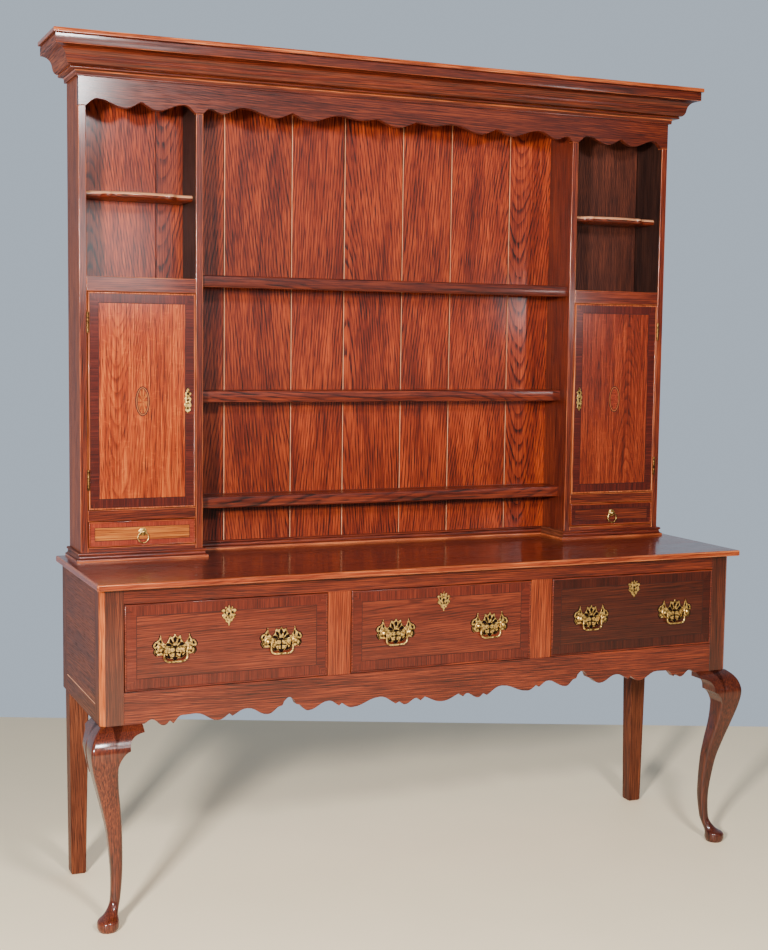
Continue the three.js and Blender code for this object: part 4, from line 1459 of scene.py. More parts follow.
            # The plank inside the right pier takes a darker wood as painted shade.
            timber = PIER_PLANK_SHADE_OAK if x0 > joints[-2] else BACK_OAK
            middle, level = (x0 + x1) / 2, self.grain_level
            materials = [
                timber.material(Cut.STILE, Vector((middle, front, level)), name,
                                self.plank_tones[index]),
                PAINTED_LIGHT_OAK.material(Cut.STILE, Vector((x0, front, level)), f"{name}_edge"),
                RAW_OAK.material(Cut.STILE, Vector((middle, block.y1, level)), f"{name}_rear"),
            ]
            node = "rack_backboards" if index == 0 else None
            self.bench.place(name, blank, materials, node=node, slot="bright_oak")


@dataclass
class Crown:
    """The frieze, the cornice and the moulding round the foot of the rack."""

    bench: Bench
    steps: int = 8
    centre_shares: tuple[Station, ...] = (
        (0, 0.17), (0.105, 0.91, True), (0.202, 0.65), (0.303, 0.96), (0.462, 0.13),
        (0.555, 0.83, True), (0.642, 0.17), (0.80, 1), (0.905, 0.17), (0.967, 0.57), (1, 0, True))
    pier_shares: tuple[Station, ...] = (
        (0, 0.76, True), (0.30, 0), (0.79, 0.8), (1, 0, True))
    scallop: float = 0.023
    frieze_tone: float = 0.70
    cornice_tone: float = 0.77
    return_tone: float = 1.3

    def build(self) -> None:
        """Builds all the pieces."""
        self.frieze()
        self.cornice()
        self.base_moulding()

    def frieze(self) -> None:
        """Makes the scalloped frieze."""
        block = Block.of("scalloped_frieze")
        upright, side = Block.of("right_inner_upright"), Block.of("right_outer_side")
        pier_middle, pier_half = (upright.x1 + side.x0) / 2, (side.x0 - upright.x1) / 2
        edges = [
            scalloped_edge(shares, middle, half, block.z0, self.scallop)
            for shares, middle, half in (
                (self.pier_shares, -pier_middle, pier_half), (self.centre_shares, 0, upright.x0),
                (self.pier_shares, pier_middle, pier_half))
        ]
        outline = [
            (block.x1, block.z1), (block.x0, block.z1), (block.x0, block.z0),
            *(point for edge in edges for point in edge), (block.x1, block.z0),
        ]
        material = CASE_OAK.material(Cut.RAIL, block.middle, "frieze", self.frieze_tone)
        blank = Blank().add_prism(outline, Axis.Y, block.y0, block.y1)
        self.bench.place(
            "scalloped_frieze", blank, [material], node="scalloped_frieze", arris=ARRIS)

    def cornice(self) -> None:
        """Makes the cornice, mitred round the front corners."""
        block = Block.of("cornice")
        side = Block.of("right_outer_side")
        path = [(-side.x1, side.y1), (-side.x1, side.y0), (side.x1, side.y0), (side.x1, side.y1)]
        bead = bezier([(0.25, 0.13), (0.34, 0.135), (0.34, 0.195), (0.27, 0.20)], self.steps)
        hollow = bezier([(0.33, 0.205), (0.47, 0.21), (0.51, 0.38)], 2 * self.steps)
        swell = bezier([(0.51, 0.38), (0.55, 0.61), (0.86, 0.64)], 2 * self.steps)
        shares = [
            (0, 0), (0.09, 0), (0.10, 0.10), (0.13, 0.125), (0.25, 0.13), *bead, (0.33, 0.205),
            *hollow, *swell, (0.915, 0.642), (0.92, 0.65), (0.92, 0.865), (0.895, 0.885),
            (0.985, 0.888), (1, 0.90), (1, 0.985), (0.985, 1), (0, 1),
        ]
        section = scaled(shares, block.x1 - side.x1, block.z1 - block.z0)
        bead_end = 4 + len(bead)
        fascia = bead_end + 2 + len(hollow) + len(swell)
        # These sides take the lighter wood of wear and painted highlight, along the cornice's
        # lines.
        wear_and_sheen = (2, bead_end, fascia, fascia + 5, fascia + 6)
        self.run("cornice", section, path, wear_and_sheen, self.cornice_tone, self.return_tone)

    def base_moulding(self) -> None:
        """Makes the moulding round the foot of the rack and between its piers."""
        block = Block.of("rack_base_moulding")
        side, upright = Block.of("right_outer_side"), Block.of("right_inner_upright")
        shares = [
            (0, 0), (1, 0), (1, 0.22), (0.93, 0.29),
            *bezier([(0.93, 0.29), (0.42, 0.32), (0.42, 0.68)], self.steps),
            *bezier([(0.42, 0.70), (0.80, 0.70), (0.80, 0.98), (0.42, 1)], self.steps), (0, 1),
        ]
        section = scaled(shares, block.x1 - side.x1, block.z1 - block.z0)
        half = [(side.x1, side.y1), (side.x1, side.y0), (upright.x0, side.y0),
                (upright.x0, Block.of("rack_backboards").y0)]
        path = [(-x, y) for x, y in half] + list(reversed(half))
        # One side of its section takes the lighter wood of wear and painted highlight.
        self.run("rack_base_moulding", section, path, (1,))

    def run(self, name: str, section: Sequence[Pair], path: Sequence[Pair],
            wear_and_sheen: Sequence[int], tone: float = 1.0, return_tone: float = 1.0) -> None:
        """Makes a moulding, of which the first stretch and every second one is a return.

        Args:
            name: The moulding's name.
            section: Its section.
            path: The plan that it runs round.
            wear_and_sheen: The sides of the section that take the lighter wood of wear and painted
                highlight.
            tone: How light its face is.
            return_tone: How light its returns are.
        """
        block, label = Block.of(name), name.removeprefix("rack_")
        finishes = [1 - stretch % 2 for stretch in range(len(path) - 1)]
        blank = Blank().add_run(section, path, block.z0, finishes, wear_and_sheen)
        materials = [
            CASE_OAK.material(Cut.RAIL, block.middle, label, tone),
            END_OAK.material(Cut.END, block.middle, f"{label}_return", return_tone),
            WEAR_AND_SHEEN_OAK.material(Cut.RAIL, block.middle, f"{label}_edge"),
        ]
        self.bench.place(name, blank, materials, node=name)


@dataclass
class Cupboard:
    """A pier's cupboard door, with its bands, inlay, hinges and keyhole plate."""

    bench: Bench
    hand: Hand
    thickness: float = 0.020
    band: float = 0.022
    string: float = 0.0016
    inlay_half_width: float = 0.019
    inlay_half_height: float = 0.038
    inlay_shares: tuple[float, ...] = (1.0, 0.87, 0.76, 0.66)
    inlay_proud: float = 0.0004
    inlay_steps: int = 64
    petal_steps: int = 4
    plate_in: float = 0.020
    plate_half: tuple[Station, ...] = (
        (0.0, 0.034, True), (0.0035, 0.028), (0.0020, 0.024, True), (0.0085, 0.020),
        (0.0050, 0.013, True), (0.0090, 0.006), (0.0060, -0.003, True), (0.0090, -0.011),
        (0.0045, -0.017, True), (0.0075, -0.024), (0.0025, -0.027, True), (0.0, -0.034, True))
    leaf: float = 0.0012
    knuckles: int = 5
    knuckle_gap: float = 0.0004

    def __post_init__(self) -> None:
        """Reads the door's box and its face from the frame."""
        self.box = Block.of(self.name)
        self.face = self.box.y1 - self.thickness

    @property
    def name(self) -> str:
        """The door's name, which is its body's too."""
        return f"{self.hand.word}_door"

    def build(self) -> None:
        """Builds all the pieces."""
        self.door()
        self.inlay()
        self.keyhole_plate()
        for place in ("upper", "lower"):
            self.hinge(place)

    def door(self) -> None:
        """Makes the door with its crossbanding and its bead."""
        timber = DOOR_OAK if self.hand is Hand.LEFT else RED_DOOR_OAK
        # The door's bead takes the lighter wood of wear and painted highlight.
        front = Front(
            self.bench, self.name, replace(self.box, y0=self.face), self.box.middle, Cut.STILE,
            timber, DOOR_BAND, WEAR_AND_SHEEN_OAK, (self.band, self.string), backed=False)
        front.build(f"{self.name}_panel", self.name, "bright_oak")

    def inlay(self) -> None:
        """Makes the oval inlay: a dark band between strings round a field of petals."""
        middle, level, steps = self.box.middle, self.face - self.inlay_proud, self.inlay_steps
        loops = []
        for share in self.inlay_shares:
            trim = self.inlay_half_width * (1 - share)
            width, height = self.inlay_half_width - trim, self.inlay_half_height - trim
            angles = [TURN * step / steps for step in range(steps)]
            loops.append([
                Vector((middle.x + width * math.cos(a), level, middle.z + height * math.sin(a)))
                for a in angles
            ])
        rim = [point + Vector((0, self.inlay_proud * 2, 0)) for point in loops[0]]
        blank = Blank()
        for outer, inner, finish in zip([rim, *loops], loops, (1, 1, 0, 1)):
            blank.add_skin([outer, inner], finish, caps=(False, False))
        centre = Vector((middle.x, level, middle.z))
        field_edge = loops[-1]
        for step in range(steps):
            petal = 2 if step // self.petal_steps % 2 else 3
            blank.add_face([field_edge[step], field_edge[(step + 1) % steps], centre], petal)
        petals, ground = (
            (SMALL_FIELD, DOOR_OAK) if self.hand is Hand.LEFT else (BRIGHT_BAND, RED_DOOR_OAK))
        materials = [
            STRING.material(), EBONY.material(),
            petals.material(Cut.STILE, middle, f"{self.name}_inlay_light"),
            ground.material(Cut.RAIL, middle, f"{self.name}_inlay_dark"),
        ]
        self.bench.place(f"{self.name}_inlay", blank, materials, self.name, slot="bright_oak",
                         weld=True)

    def keyhole_plate(self) -> None:
        """Makes the tall pierced keyhole plate near the door's meeting edge."""
        box = self.box
        inner = box.x0 if self.hand is Hand.RIGHT else box.x1
        middle = Vector((inner + self.hand.value * self.plate_in, self.face, box.middle.z))
        piercings = [
            diamond(0.0, 0.019, 0.0032, 0.0046), diamond(0.0, -0.018, 0.0030, 0.0048),
            key_slot(0.002, 0.0030, 0.011),
        ]
        plate = KeyholePlate(
            self.plate_half, piercings, thickness=0.0012, hole=(0.0035, -0.009, 0.006))
        plate.build(self.bench, self.name, middle, self.face, "bright_oak")

    def hinge(self, place: str) -> None:
        """Makes one butt hinge, with its knuckles and the leaf on the case."""
        name = f"{self.hand.word}_{place}_hinge"
        box = Block.of(name)
        radius, length = (box.x1 - box.x0) / 2, box.z1 - box.z0
        axis = Vector(((box.x0 + box.x1) / 2, box.y0 + radius, box.z0))
        waist, profile = radius - self.knuckle_gap, []
        for knuckle in range(self.knuckles):
            low = length * knuckle / self.knuckles
            high = length * (knuckle + 1) / self.knuckles
            profile += [(waist, low), (radius, low + self.knuckle_gap),
                        (radius, high - self.knuckle_gap), (waist, high)]
        blank = Blank().add_turned(profile, axis, Axis.Z, sides=20)
        side = Block.of(f"{self.hand.word}_outer_side")
        inner = side.x0 if self.hand is Hand.RIGHT else side.x1
        x0, x1 = sorted((inner, inner - self.hand.value * self.leaf))
        blank.add_block(replace(box, x0=x0, x1=x1, y0=axis.y))
        self.bench.place(name, blank, [OLD_BRASS.material()], node=name, slot="brass")


@dataclass
class SmallDrawer:
    """The small drawer at the foot of a pier."""

    bench: Bench
    hand: Hand
    front_thickness: float = 0.014
    rail_gap: float = 0.0015
    band: float = 0.011
    string: float = 0.0012
    side: float = 0.008
    bottom: float = 0.006
    foot: float = 0.003
    height: float = 0.054
    floor_gap: float = 0.001
    arris: float = 0.0006
    wire: float = 0.0017
    wire_taper: float = 0.18
    ring_steps: int = 48
    rosette: float = 0.0105
    rosette_shares: tuple[Pair, ...] = (
        (1, 0), (1, 0.0008), (0.86, 0.0014), (0.80, 0.0009), (0.55, 0.0012))
    post_foot: Pair = (0.0046, 0.0024)
    post_head: tuple[Pair, ...] = (
        (0.0038, -0.003), (0.0044, 0.0), (0.0040, 0.003), (0.0022, 0.0042), (0.0004, 0.0045))

    def __post_init__(self) -> None:
        """Reads the drawer's box, its face and the rail under it from the frame."""
        self.box = Block.of(self.name)
        self.face = Block.of(f"{self.hand.word}_outer_side").y0
        self.back = self.face + self.front_thickness
        self.rail_top = Block.of(f"{self.hand.word}_pier_bottom").z1

    @property
    def name(self) -> str:
        """The drawer's name, which is its body's too."""
        return f"{self.hand.word}_small_drawer"

    def build(self) -> None:
        """Builds all the pieces."""
        self.front()
        self.tray()
        self.pull()

    def front(self) -> None:
        """Makes the front with its bands and its bead."""
        under_rail = Block.of(f"{self.hand.word}_cupboard_floor").z0
        outer = replace(self.box, y0=self.face, y1=self.back, z0=self.rail_top + self.rail_gap,
                        z1=under_rail - self.rail_gap)
        timber, veneer = (
            (SMALL_FIELD, BRIGHT_BAND) if self.hand is Hand.LEFT else (CASE_OAK, DOOR_BAND))
        # The bead takes a lighter wood as a painted highlight.
        front = Front(self.bench, self.name, outer, outer.middle, Cut.RAIL, timber, veneer,
                      EDGE_SHEEN_OAK, (self.band, self.string))
        front.build(f"{self.name}_front", self.name, "drawer_oak")

    def tray(self) -> None:
        """Makes the open box behind the front."""
        z0 = self.rail_top + self.floor_gap / 2
        inner = replace(self.box, y0=self.back, z0=z0, z1=z0 + self.height)
        blank = open_tray(inner, self.side, self.bottom, self.foot)
        material = INNER_OAK.material(Cut.RAIL, inner.middle, f"{self.name}_tray")
        self.bench.place(f"{self.name}_tray", blank, [material], self.name, slot="drawer_oak",
                         arris=self.arris)

    def pull(self) -> None:
        """Makes the rosette, its post and the ring."""
        ring_name = f"{self.name}_ring"
        box = Block.of(ring_name)
        radius = (box.x1 - box.x0) / 2 - self.wire
        pivot = Vector((box.middle.x, box.middle.y, box.z1 - self.wire))
        stem = self.face - pivot.y
        profile = [
            *((share * self.rosette, -up) for share, up in self.rosette_shares),
            (self.post_foot[0], -self.post_foot[1]),
            *((girth, -(stem + up)) for girth, up in self.post_head),
        ]
        foot = Vector((pivot.x, self.face, pivot.z))
        post = Blank().add_turned(profile, foot, Axis.Y, sides=28)
        self.bench.place(f"{self.name}_rosette", post, [BRASS.material()], self.name, slot="brass")
        centre = Vector((pivot.x, pivot.y, pivot.z - radius))
        angles = [TURN * step / self.ring_steps for step in range(self.ring_steps)]
        path = [
            centre + Vector((radius * math.sin(a), 0, radius * math.cos(a))) for a in angles
        ]
        taper = self.wire_taper
        radii = [self.wire * (1 - taper + taper * (1 - math.cos(a)) / 2) for a in angles]
        ring = Blank().add_tube(path, radii, loop=True)
        self.bench.place(ring_name, ring, [BRASS.material()], ring_name, ring_name, "brass")


def open_tray(box: Block, side: float, bottom: float, foot: float) -> Blank:
    """Makes an open drawer box of four sides and a bottom let in above their lower edge.

    Args:
        box: The tray's outer box.
        side: The thickness of its sides.
        bottom: The thickness of its bottom.
        foot: The height of the bottom over the sides' lower edge.

    Returns:
        The tray.
    """
    within = replace(box, x0=box.x0 + side, x1=box.x1 - side)
    tray = Blank()
    for wall in (
        replace(box, x1=within.x0), replace(box, x0=within.x1),
        replace(within, y1=box.y0 + side), replace(within, y0=box.y1 - side),
        replace(within, y0=box.y0 + side, y1=box.y1 - side, z0=box.z0 + foot,
                z1=box.z0 + foot + bottom),
    ):
        tray.add_block(wall)
    return tray


# The base


@dataclass
class BaseCase:
    """The base's boards, posts, rails, dividers and apron."""

    bench: Bench
    arris: float = 0.0014
    joint_up: float = 0.045
    joint_width: float = 0.003
    joint_depth: float = 0.002
    scallop: float = 0.050
    bearing: float = 0.015
    runner: float = 0.022
    guide: float = 0.025
    kicker: float = 0.020
    kicker_gap: float = 0.002
    leg_stock: float = 0.051
    leg_foot: float = 0.039
    leg_taper: float = 0.0035
    foot_round: float = 0.005
    foot_inset: float = 0.002
    board: float = 0.018
    top_round: float = 0.004
    leg_round: float = 0.002
    strip_arris: float = 0.0006
    rail_arris: float = 0.0008
    end_tone: float = 0.82
    rear_tone: float = 0.78
    apron_shares: tuple[Station, ...] = (
        (0, 0), (0.059, 0.33, True), (0.073, 0.14, True), (0.087, 0.30), (0.126, 0.02),
        (0.144, 0.21, True), (0.157, 0.10, True), (0.21, 0.53), (0.303, 0.13), (0.335, 0.40, True),
        (0.344, 0.27, True), (0.378, 0.57), (0.443, 0.18), (0.469, 0.50, True), (0.482, 0.56, True),
        (0.487, 0.76, True), (0.503, 0.94), (0.519, 0.76, True), (0.524, 0.56, True),
        (0.537, 0.50, True), (0.571, 0.18), (0.633, 0.57), (0.68, 0.26, True), (0.688, 0.40, True),
        (0.722, 0.12), (0.79, 0.55), (0.83, 0.53), (0.857, 0.16, True), (0.866, 0.32, True),
        (0.885, 0.11), (0.92, 0.45), (0.941, 0.28, True))

    def __post_init__(self) -> None:
        """Reads the levels and faces of the case from the frame."""
        self.end = Block.of("right_end_board")
        self.rail = Block.of("front_top_rail")
        self.apron_box = Block.of("scalloped_apron")
        self.back = Block.of("base_back_board")
        self.rear_leg = Block.of("rear_right_leg")
        self.drawer = Block.of("centre_drawer_box")
        self.divider_box = Block.of("right_drawer_divider")
        self.half = self.end.x1
        self.bottom, self.top = self.end.z0, self.rail.z1

    def build(self) -> None:
        """Builds all the pieces."""
        self.top_board()
        self.bench.board("front_top_rail", self.rail, CASE_OAK, Cut.RAIL,
                         node="front_top_rail", arris=self.rail_arris)
        self.bench.board("base_back_board", self.back, INNER_OAK, Cut.RAIL,
                         node="base_back_board", slot="inner_oak")
        self.apron()
        for hand in Hand:
            self.end_board(hand)
            self.divider(hand)
            self.rear(hand)

    def top_board(self) -> None:
        """Makes the top board, whose edges take a lighter wood as a painted highlight and whose
        round takes the lighter wood of wear and painted highlight.
        """
        box = Block.of("base_top_board")
        blank = Blank().add_block(box)
        # Its ends and front take a lighter wood as a painted highlight.
        right, left, front = 1, 3, 4
        blank.finishes[right] = blank.finishes[left] = blank.finishes[front] = 1
        materials = [
            TOP_OAK.material(Cut.SHELF, box.middle, "base_top_board"),
            EDGE_SHEEN_OAK.material(Cut.RAIL, box.middle, "base_top_board_front"),
        ]
        # The round along its edges takes the lighter wood of wear and painted highlight.
        wear_and_sheen = WEAR_AND_SHEEN_OAK.material(Cut.RAIL, box.middle, "base_top_board_edge")
        self.bench.place("base_top_board", blank, materials, node="base_top_board",
                         slot="bright_oak", arris=self.top_round, steps=4, rubbed=wear_and_sheen)

    def apron(self) -> None:
        """Makes the scalloped apron."""
        box = self.apron_box
        edge = scalloped_edge(self.apron_shares, 0, box.x1, box.z0, self.scallop)
        outline = [(box.x1, box.z1), (box.x0, box.z1), (box.x0, self.bottom), *edge,
                   (box.x1, self.bottom)]
        material = CASE_OAK.material(Cut.RAIL, box.middle, "apron")
        blank = Blank().add_prism(outline, Axis.Y, box.y0, box.y1)
        self.bench.place(
            "scalloped_apron", blank, [material], node="scalloped_apron", arris=ARRIS)

    def strips(self, name: str, hand: Hand, run: Block, guide: Pair, middle: Vector,
               label: str) -> None:
        """Makes the runner, guide and kicker at one edge of a drawer.

        Args:
            name: The strips' name.
            hand: The side that they lie on.
            run: The box of their width and length on the right side.
            guide: The guide's left and right edge there.
            middle: The place that the grain is laid out from.
            label: The name of their finish.
        """
        level, kicker = self.apron_box.z1, self.drawer.z1 + self.kicker_gap
        strips = Blank()
        strips.add_block(replace(run, z0=level - self.runner, z1=level))
        strips.add_block(replace(run, x0=guide[0], x1=guide[1], z0=level, z1=level + self.guide))
        strips.add_block(replace(run, z0=kicker, z1=kicker + self.kicker))
        material = INNER_OAK.material(Cut.RUNNER, middle, label)
        self.bench.place(name, strips.for_hand(hand), [material], slot="inner_oak",
                         arris=self.strip_arris)

    def end_board(self, hand: Hand) -> None:
        """Makes one end board, with its joint line painted pale as light, and the strips inside it.
        """
        name = f"{hand.word}_end_board"
        end, outer = self.end, self.half
        inner = outer - self.board
        joint, half = self.bottom + self.joint_up, self.joint_width / 2
        outline = [
            (inner, self.bottom), (outer, self.bottom), (outer, joint - half),
            (outer - self.joint_depth, joint), (outer, joint + half), (outer, self.top),
            (inner, self.top),
        ]
        blank = Blank().add_prism(outline, Axis.Y, end.y0, end.y1).for_hand(hand)
        middle = Vector((hand.value * outer, (end.y0 + end.y1) / 2, (self.bottom + self.top) / 2))
        # The joint's two faces take a pale wood as a painted light line.
        blank.finishes[2] = blank.finishes[3] = 1
        materials = [
            END_OAK.material(Cut.END, middle, name, self.end_tone),
            PAINTED_LIGHT_OAK.material(Cut.END, middle, f"{name}_joint"),
        ]
        self.bench.place(name, blank, materials, node=name)
        self.strips(f"{hand.word}_end_runners", hand, replace(end, x1=inner),
                    (end.x0 + self.bearing, inner), middle, f"{hand.word}_runners")

    def divider(self, hand: Hand) -> None:
        """Makes one upright between the drawers and the strips behind it."""
        name = f"{hand.word}_drawer_divider"
        box, rail = self.divider_box, self.rail
        x0, x1 = box.x0 + self.bearing, box.x1 - self.bearing
        upright = Block(x0, x1, rail.y0, rail.y1, self.apron_box.z1, rail.z0).for_hand(hand)
        self.bench.board(name, upright, DIVIDER_OAK, Cut.STILE, node=name,
                         slot="bright_oak", arris=self.rail_arris)
        self.strips(f"{name}_runners", hand, replace(box, y0=rail.y1), (x0, x1), upright.middle,
                    f"{name}_strips")

    def rear(self, hand: Hand) -> None:
        """Makes one rear post and the leg under it, which stands in and tapers to the floor."""
        name = f"rear_{hand.word}_leg"
        box = self.rear_leg
        middle = Vector((hand.value * box.middle.x, box.middle.y, box.middle.z))
        material = END_OAK.material(Cut.STILE, middle, name, self.rear_tone)
        post = Blank().add_block(replace(box, z0=self.bottom)).for_hand(hand)
        self.bench.place(f"{name}_post", post, [material], node=name, arris=ARRIS)
        outer, foot, taper = box.x0 + self.leg_stock, self.leg_foot, self.leg_taper
        levels = [
            (0.0, foot - 2 * self.foot_inset, taper + self.foot_inset),
            (self.foot_round, foot, taper), (self.bottom, self.leg_stock, 0.0),
        ]
        rings = [
            raised(rectangle(outer - inset - stock, outer - inset, box.y1 - inset - stock,
                             box.y1 - inset), Axis.Z, z)
            for z, stock, inset in levels
        ]
        self.bench.place(name, Blank().add_skin(rings).for_hand(hand), [material],
                         arris=self.leg_round, steps=3)


class Level(NamedTuple):
    """One level of a leg: its height, its throws, its half girth and its corners' round."""

    height: float
    out: float
    forward: float
    half: float
    soft: float


@dataclass
class CabrioleLeg:
    """A front leg: its post, its cabriole shank and a bracket on each side of the knee."""

    bench: Bench
    hand: Hand
    stock: float = 0.057
    knee_out: float = 0.0245
    knee_forward: float = 0.0364
    post_cant: float = 0.012
    reach: float = 0.101
    ear: float = 0.022
    drop: float = 0.111
    rings: int = 84
    corner_steps: int = 9
    bracket_steps: int = 12
    bracket_arris: float = 0.0014
    # Painted shade: the right leg is darker, the light falling from the left.
    right_tone: float = 0.74
    end_tone: float = 0.82
    shares: tuple[tuple[float, ...], ...] = (
        (1.00, 0.00, 0.00, 1.00, 0.10), (0.976, 0.45, 0.45, 1.09, 0.14),
        (0.94, 0.80, 0.79, 1.16, 0.19), (0.887, 1.00, 1.00, 1.17, 0.24),
        (0.81, 0.92, 0.94, 1.07, 0.30), (0.706, 0.58, 0.72, 0.90, 0.38),
        (0.585, 0.07, 0.38, 0.76, 0.46), (0.464, -0.33, 0.11, 0.63, 0.56),
        (0.282, -0.59, -0.07, 0.51, 0.75), (0.151, -0.47, 0.01, 0.44, 0.90),
        (0.105, -0.25, 0.15, 0.45, 0.94), (0.07, 0.12, 0.38, 0.61, 0.94),
        (0.05, 0.42, 0.61, 0.88, 0.94), (0.02, 0.45, 0.63, 0.92, 0.94),
        (0.00, 0.45, 0.63, 0.78, 0.94))

    def __post_init__(self) -> None:
        """Reads the corner of the case from the frame."""
        end, rail = Block.of("right_end_board"), Block.of("front_top_rail")
        self.half, self.front = end.x1, rail.y0
        self.bottom, self.top = end.z0, rail.z1
        self.levels = self._levels()

    @property
    def name(self) -> str:
        """The leg's name."""
        return f"front_{self.hand.word}_leg"

    def _levels(self) -> list[Level]:
        """Works out each ring of the shank, from the knee down."""
        columns = list(zip(*self.shares))
        levels = []
        for step in range(self.rings + 1):
            way = step / self.rings
            height, out, forward, girth, soft = (spline_value(column, way) for column in columns)
            half = girth * self.stock / 2
            levels.append(Level(max(height, 0.0) * self.bottom, out * self.knee_out,
                                forward * self.knee_forward, half, soft * half))
        return levels

    @property
    def middle(self) -> Vector:
        """The middle of the leg."""
        return Vector((self.hand.value * (self.half - self.stock / 2),
                       self.front + self.stock / 2, self.bottom / 2))

    def build(self) -> None:
        """Builds all the pieces."""
        self.post()
        self.shank()
        self.brackets()

    def material(self, ending: str) -> bpy.types.Material:
        """Returns the wood of one piece of the leg."""
        # The right leg's wood is darker as painted shade.
        tone = 1.0 if self.hand is Hand.LEFT else self.right_tone
        return LEG_OAK.material(Cut.STILE, self.middle, f"{self.name}_{ending}", tone)

    def post(self) -> None:
        """Makes the square post with its canted outer corner, which takes a lighter wood as painted
        light and wear.
        """
        inner, back = self.half - self.stock, self.front + self.stock
        outline = [
            (inner, self.front), (self.half - self.post_cant, self.front),
            (self.half, self.front + self.post_cant), (self.half, back), (inner, back),
        ]
        blank = Blank().add_prism(outline, Axis.Z, self.bottom, self.top).for_hand(self.hand)
        # The canted corner takes a lighter wood, as painted light and wear.
        cant, end = 1, 2
        blank.finishes[cant], blank.finishes[end] = 1, 2
        materials = [
            self.material("post"),
            LIT_CANT_OAK.material(Cut.STILE, self.middle, f"{self.name}_corner"),
            END_OAK.material(Cut.STILE, self.middle, f"{self.name}_end", self.end_tone),
        ]
        self.bench.place(f"{self.name}_post", blank, materials, node=self.name, arris=ARRIS)

    def ring(self, level: Level) -> list[Vector]:
        """Draws the rounded square of one level of the shank."""
        x = self.half - self.stock / 2 + level.out
        y = self.front + self.stock / 2 - level.forward
        flat = level.half - level.soft
        ring = []
        for corner in range(4):
            sign_x = 1 if corner in (0, 3) else -1
            sign_y = 1 if corner < 2 else -1
            points = arc((x + sign_x * flat, y + sign_y * flat), level.soft, corner / 4,
                         (corner + 1) / 4, self.corner_steps)
            ring += raised(points, Axis.Z, level.height)
        return ring

    def shank(self) -> None:
        """Makes the shank from the knee to the pad foot."""
        rings = [self.ring(level) for level in reversed(self.levels)]
        blank = Blank().add_skin(rings).for_hand(self.hand)
        self.bench.place(f"{self.name}_shank", blank, [self.material("shank")])

    def brackets(self) -> None:
        """Makes the brackets beside the knee, each turned to its face of the case."""
        throws = [level.forward for level in self.levels], [level.out for level in self.levels]
        turns = ((-1, 0), (0, -1)), ((0, 1), (1, 0))
        for ending, throw, (row_x, row_y) in zip(("front_bracket", "side_bracket"), throws, turns):
            turn = Matrix(((*row_x, 0, self.half), (*row_y, 0, self.front), (0, 0, 1, 0),
                           (0, 0, 0, 1)))
            blank = self.bracket(throw)
            blank.corners = [turn @ corner for corner in blank.corners]
            self.bench.place(f"{self.name}_{ending}", blank.for_hand(self.hand),
                             [self.material(ending)], arris=self.bracket_arris)

    def bracket(self, throws: Sequence[float]) -> Blank:
        """Makes one bracket, along X from the corner of the case and out of it along Y.

        Args:
            throws: The knee's throw at each level, whose swell the bracket's face carries on.

        Returns:
            The bracket.
        """
        start, foot, deep, above = self.stock / 2, self.bottom - self.drop, 0.06, 0.03
        shares = [
            (0.30, 1), *bezier([(0.30, 1), (0.36, 0.56), (0.62, 0.47)], self.bracket_steps),
            (0.63, 0.36), *bezier([(0.63, 0.36), (0.66, 0.16), (1, 0.13)], self.bracket_steps),
            (1, 0),
        ]
        outline = [
            (start, self.bottom), (start, foot),
            *((x * self.reach, self.bottom - fall * self.drop) for x, fall in shares),
        ]
        swell = [
            (throw + level.half - start, level.height)
            for throw, level in zip(throws, self.levels) if level.height > foot - above
        ]
        face = [*swell, (-self.ear, swell[-1][1]), (-self.ear, self.bottom)]
        return common_form(
            Blank().add_prism(outline, Axis.Y, -deep, deep),
            Blank().add_prism(face, Axis.X, start, self.reach))


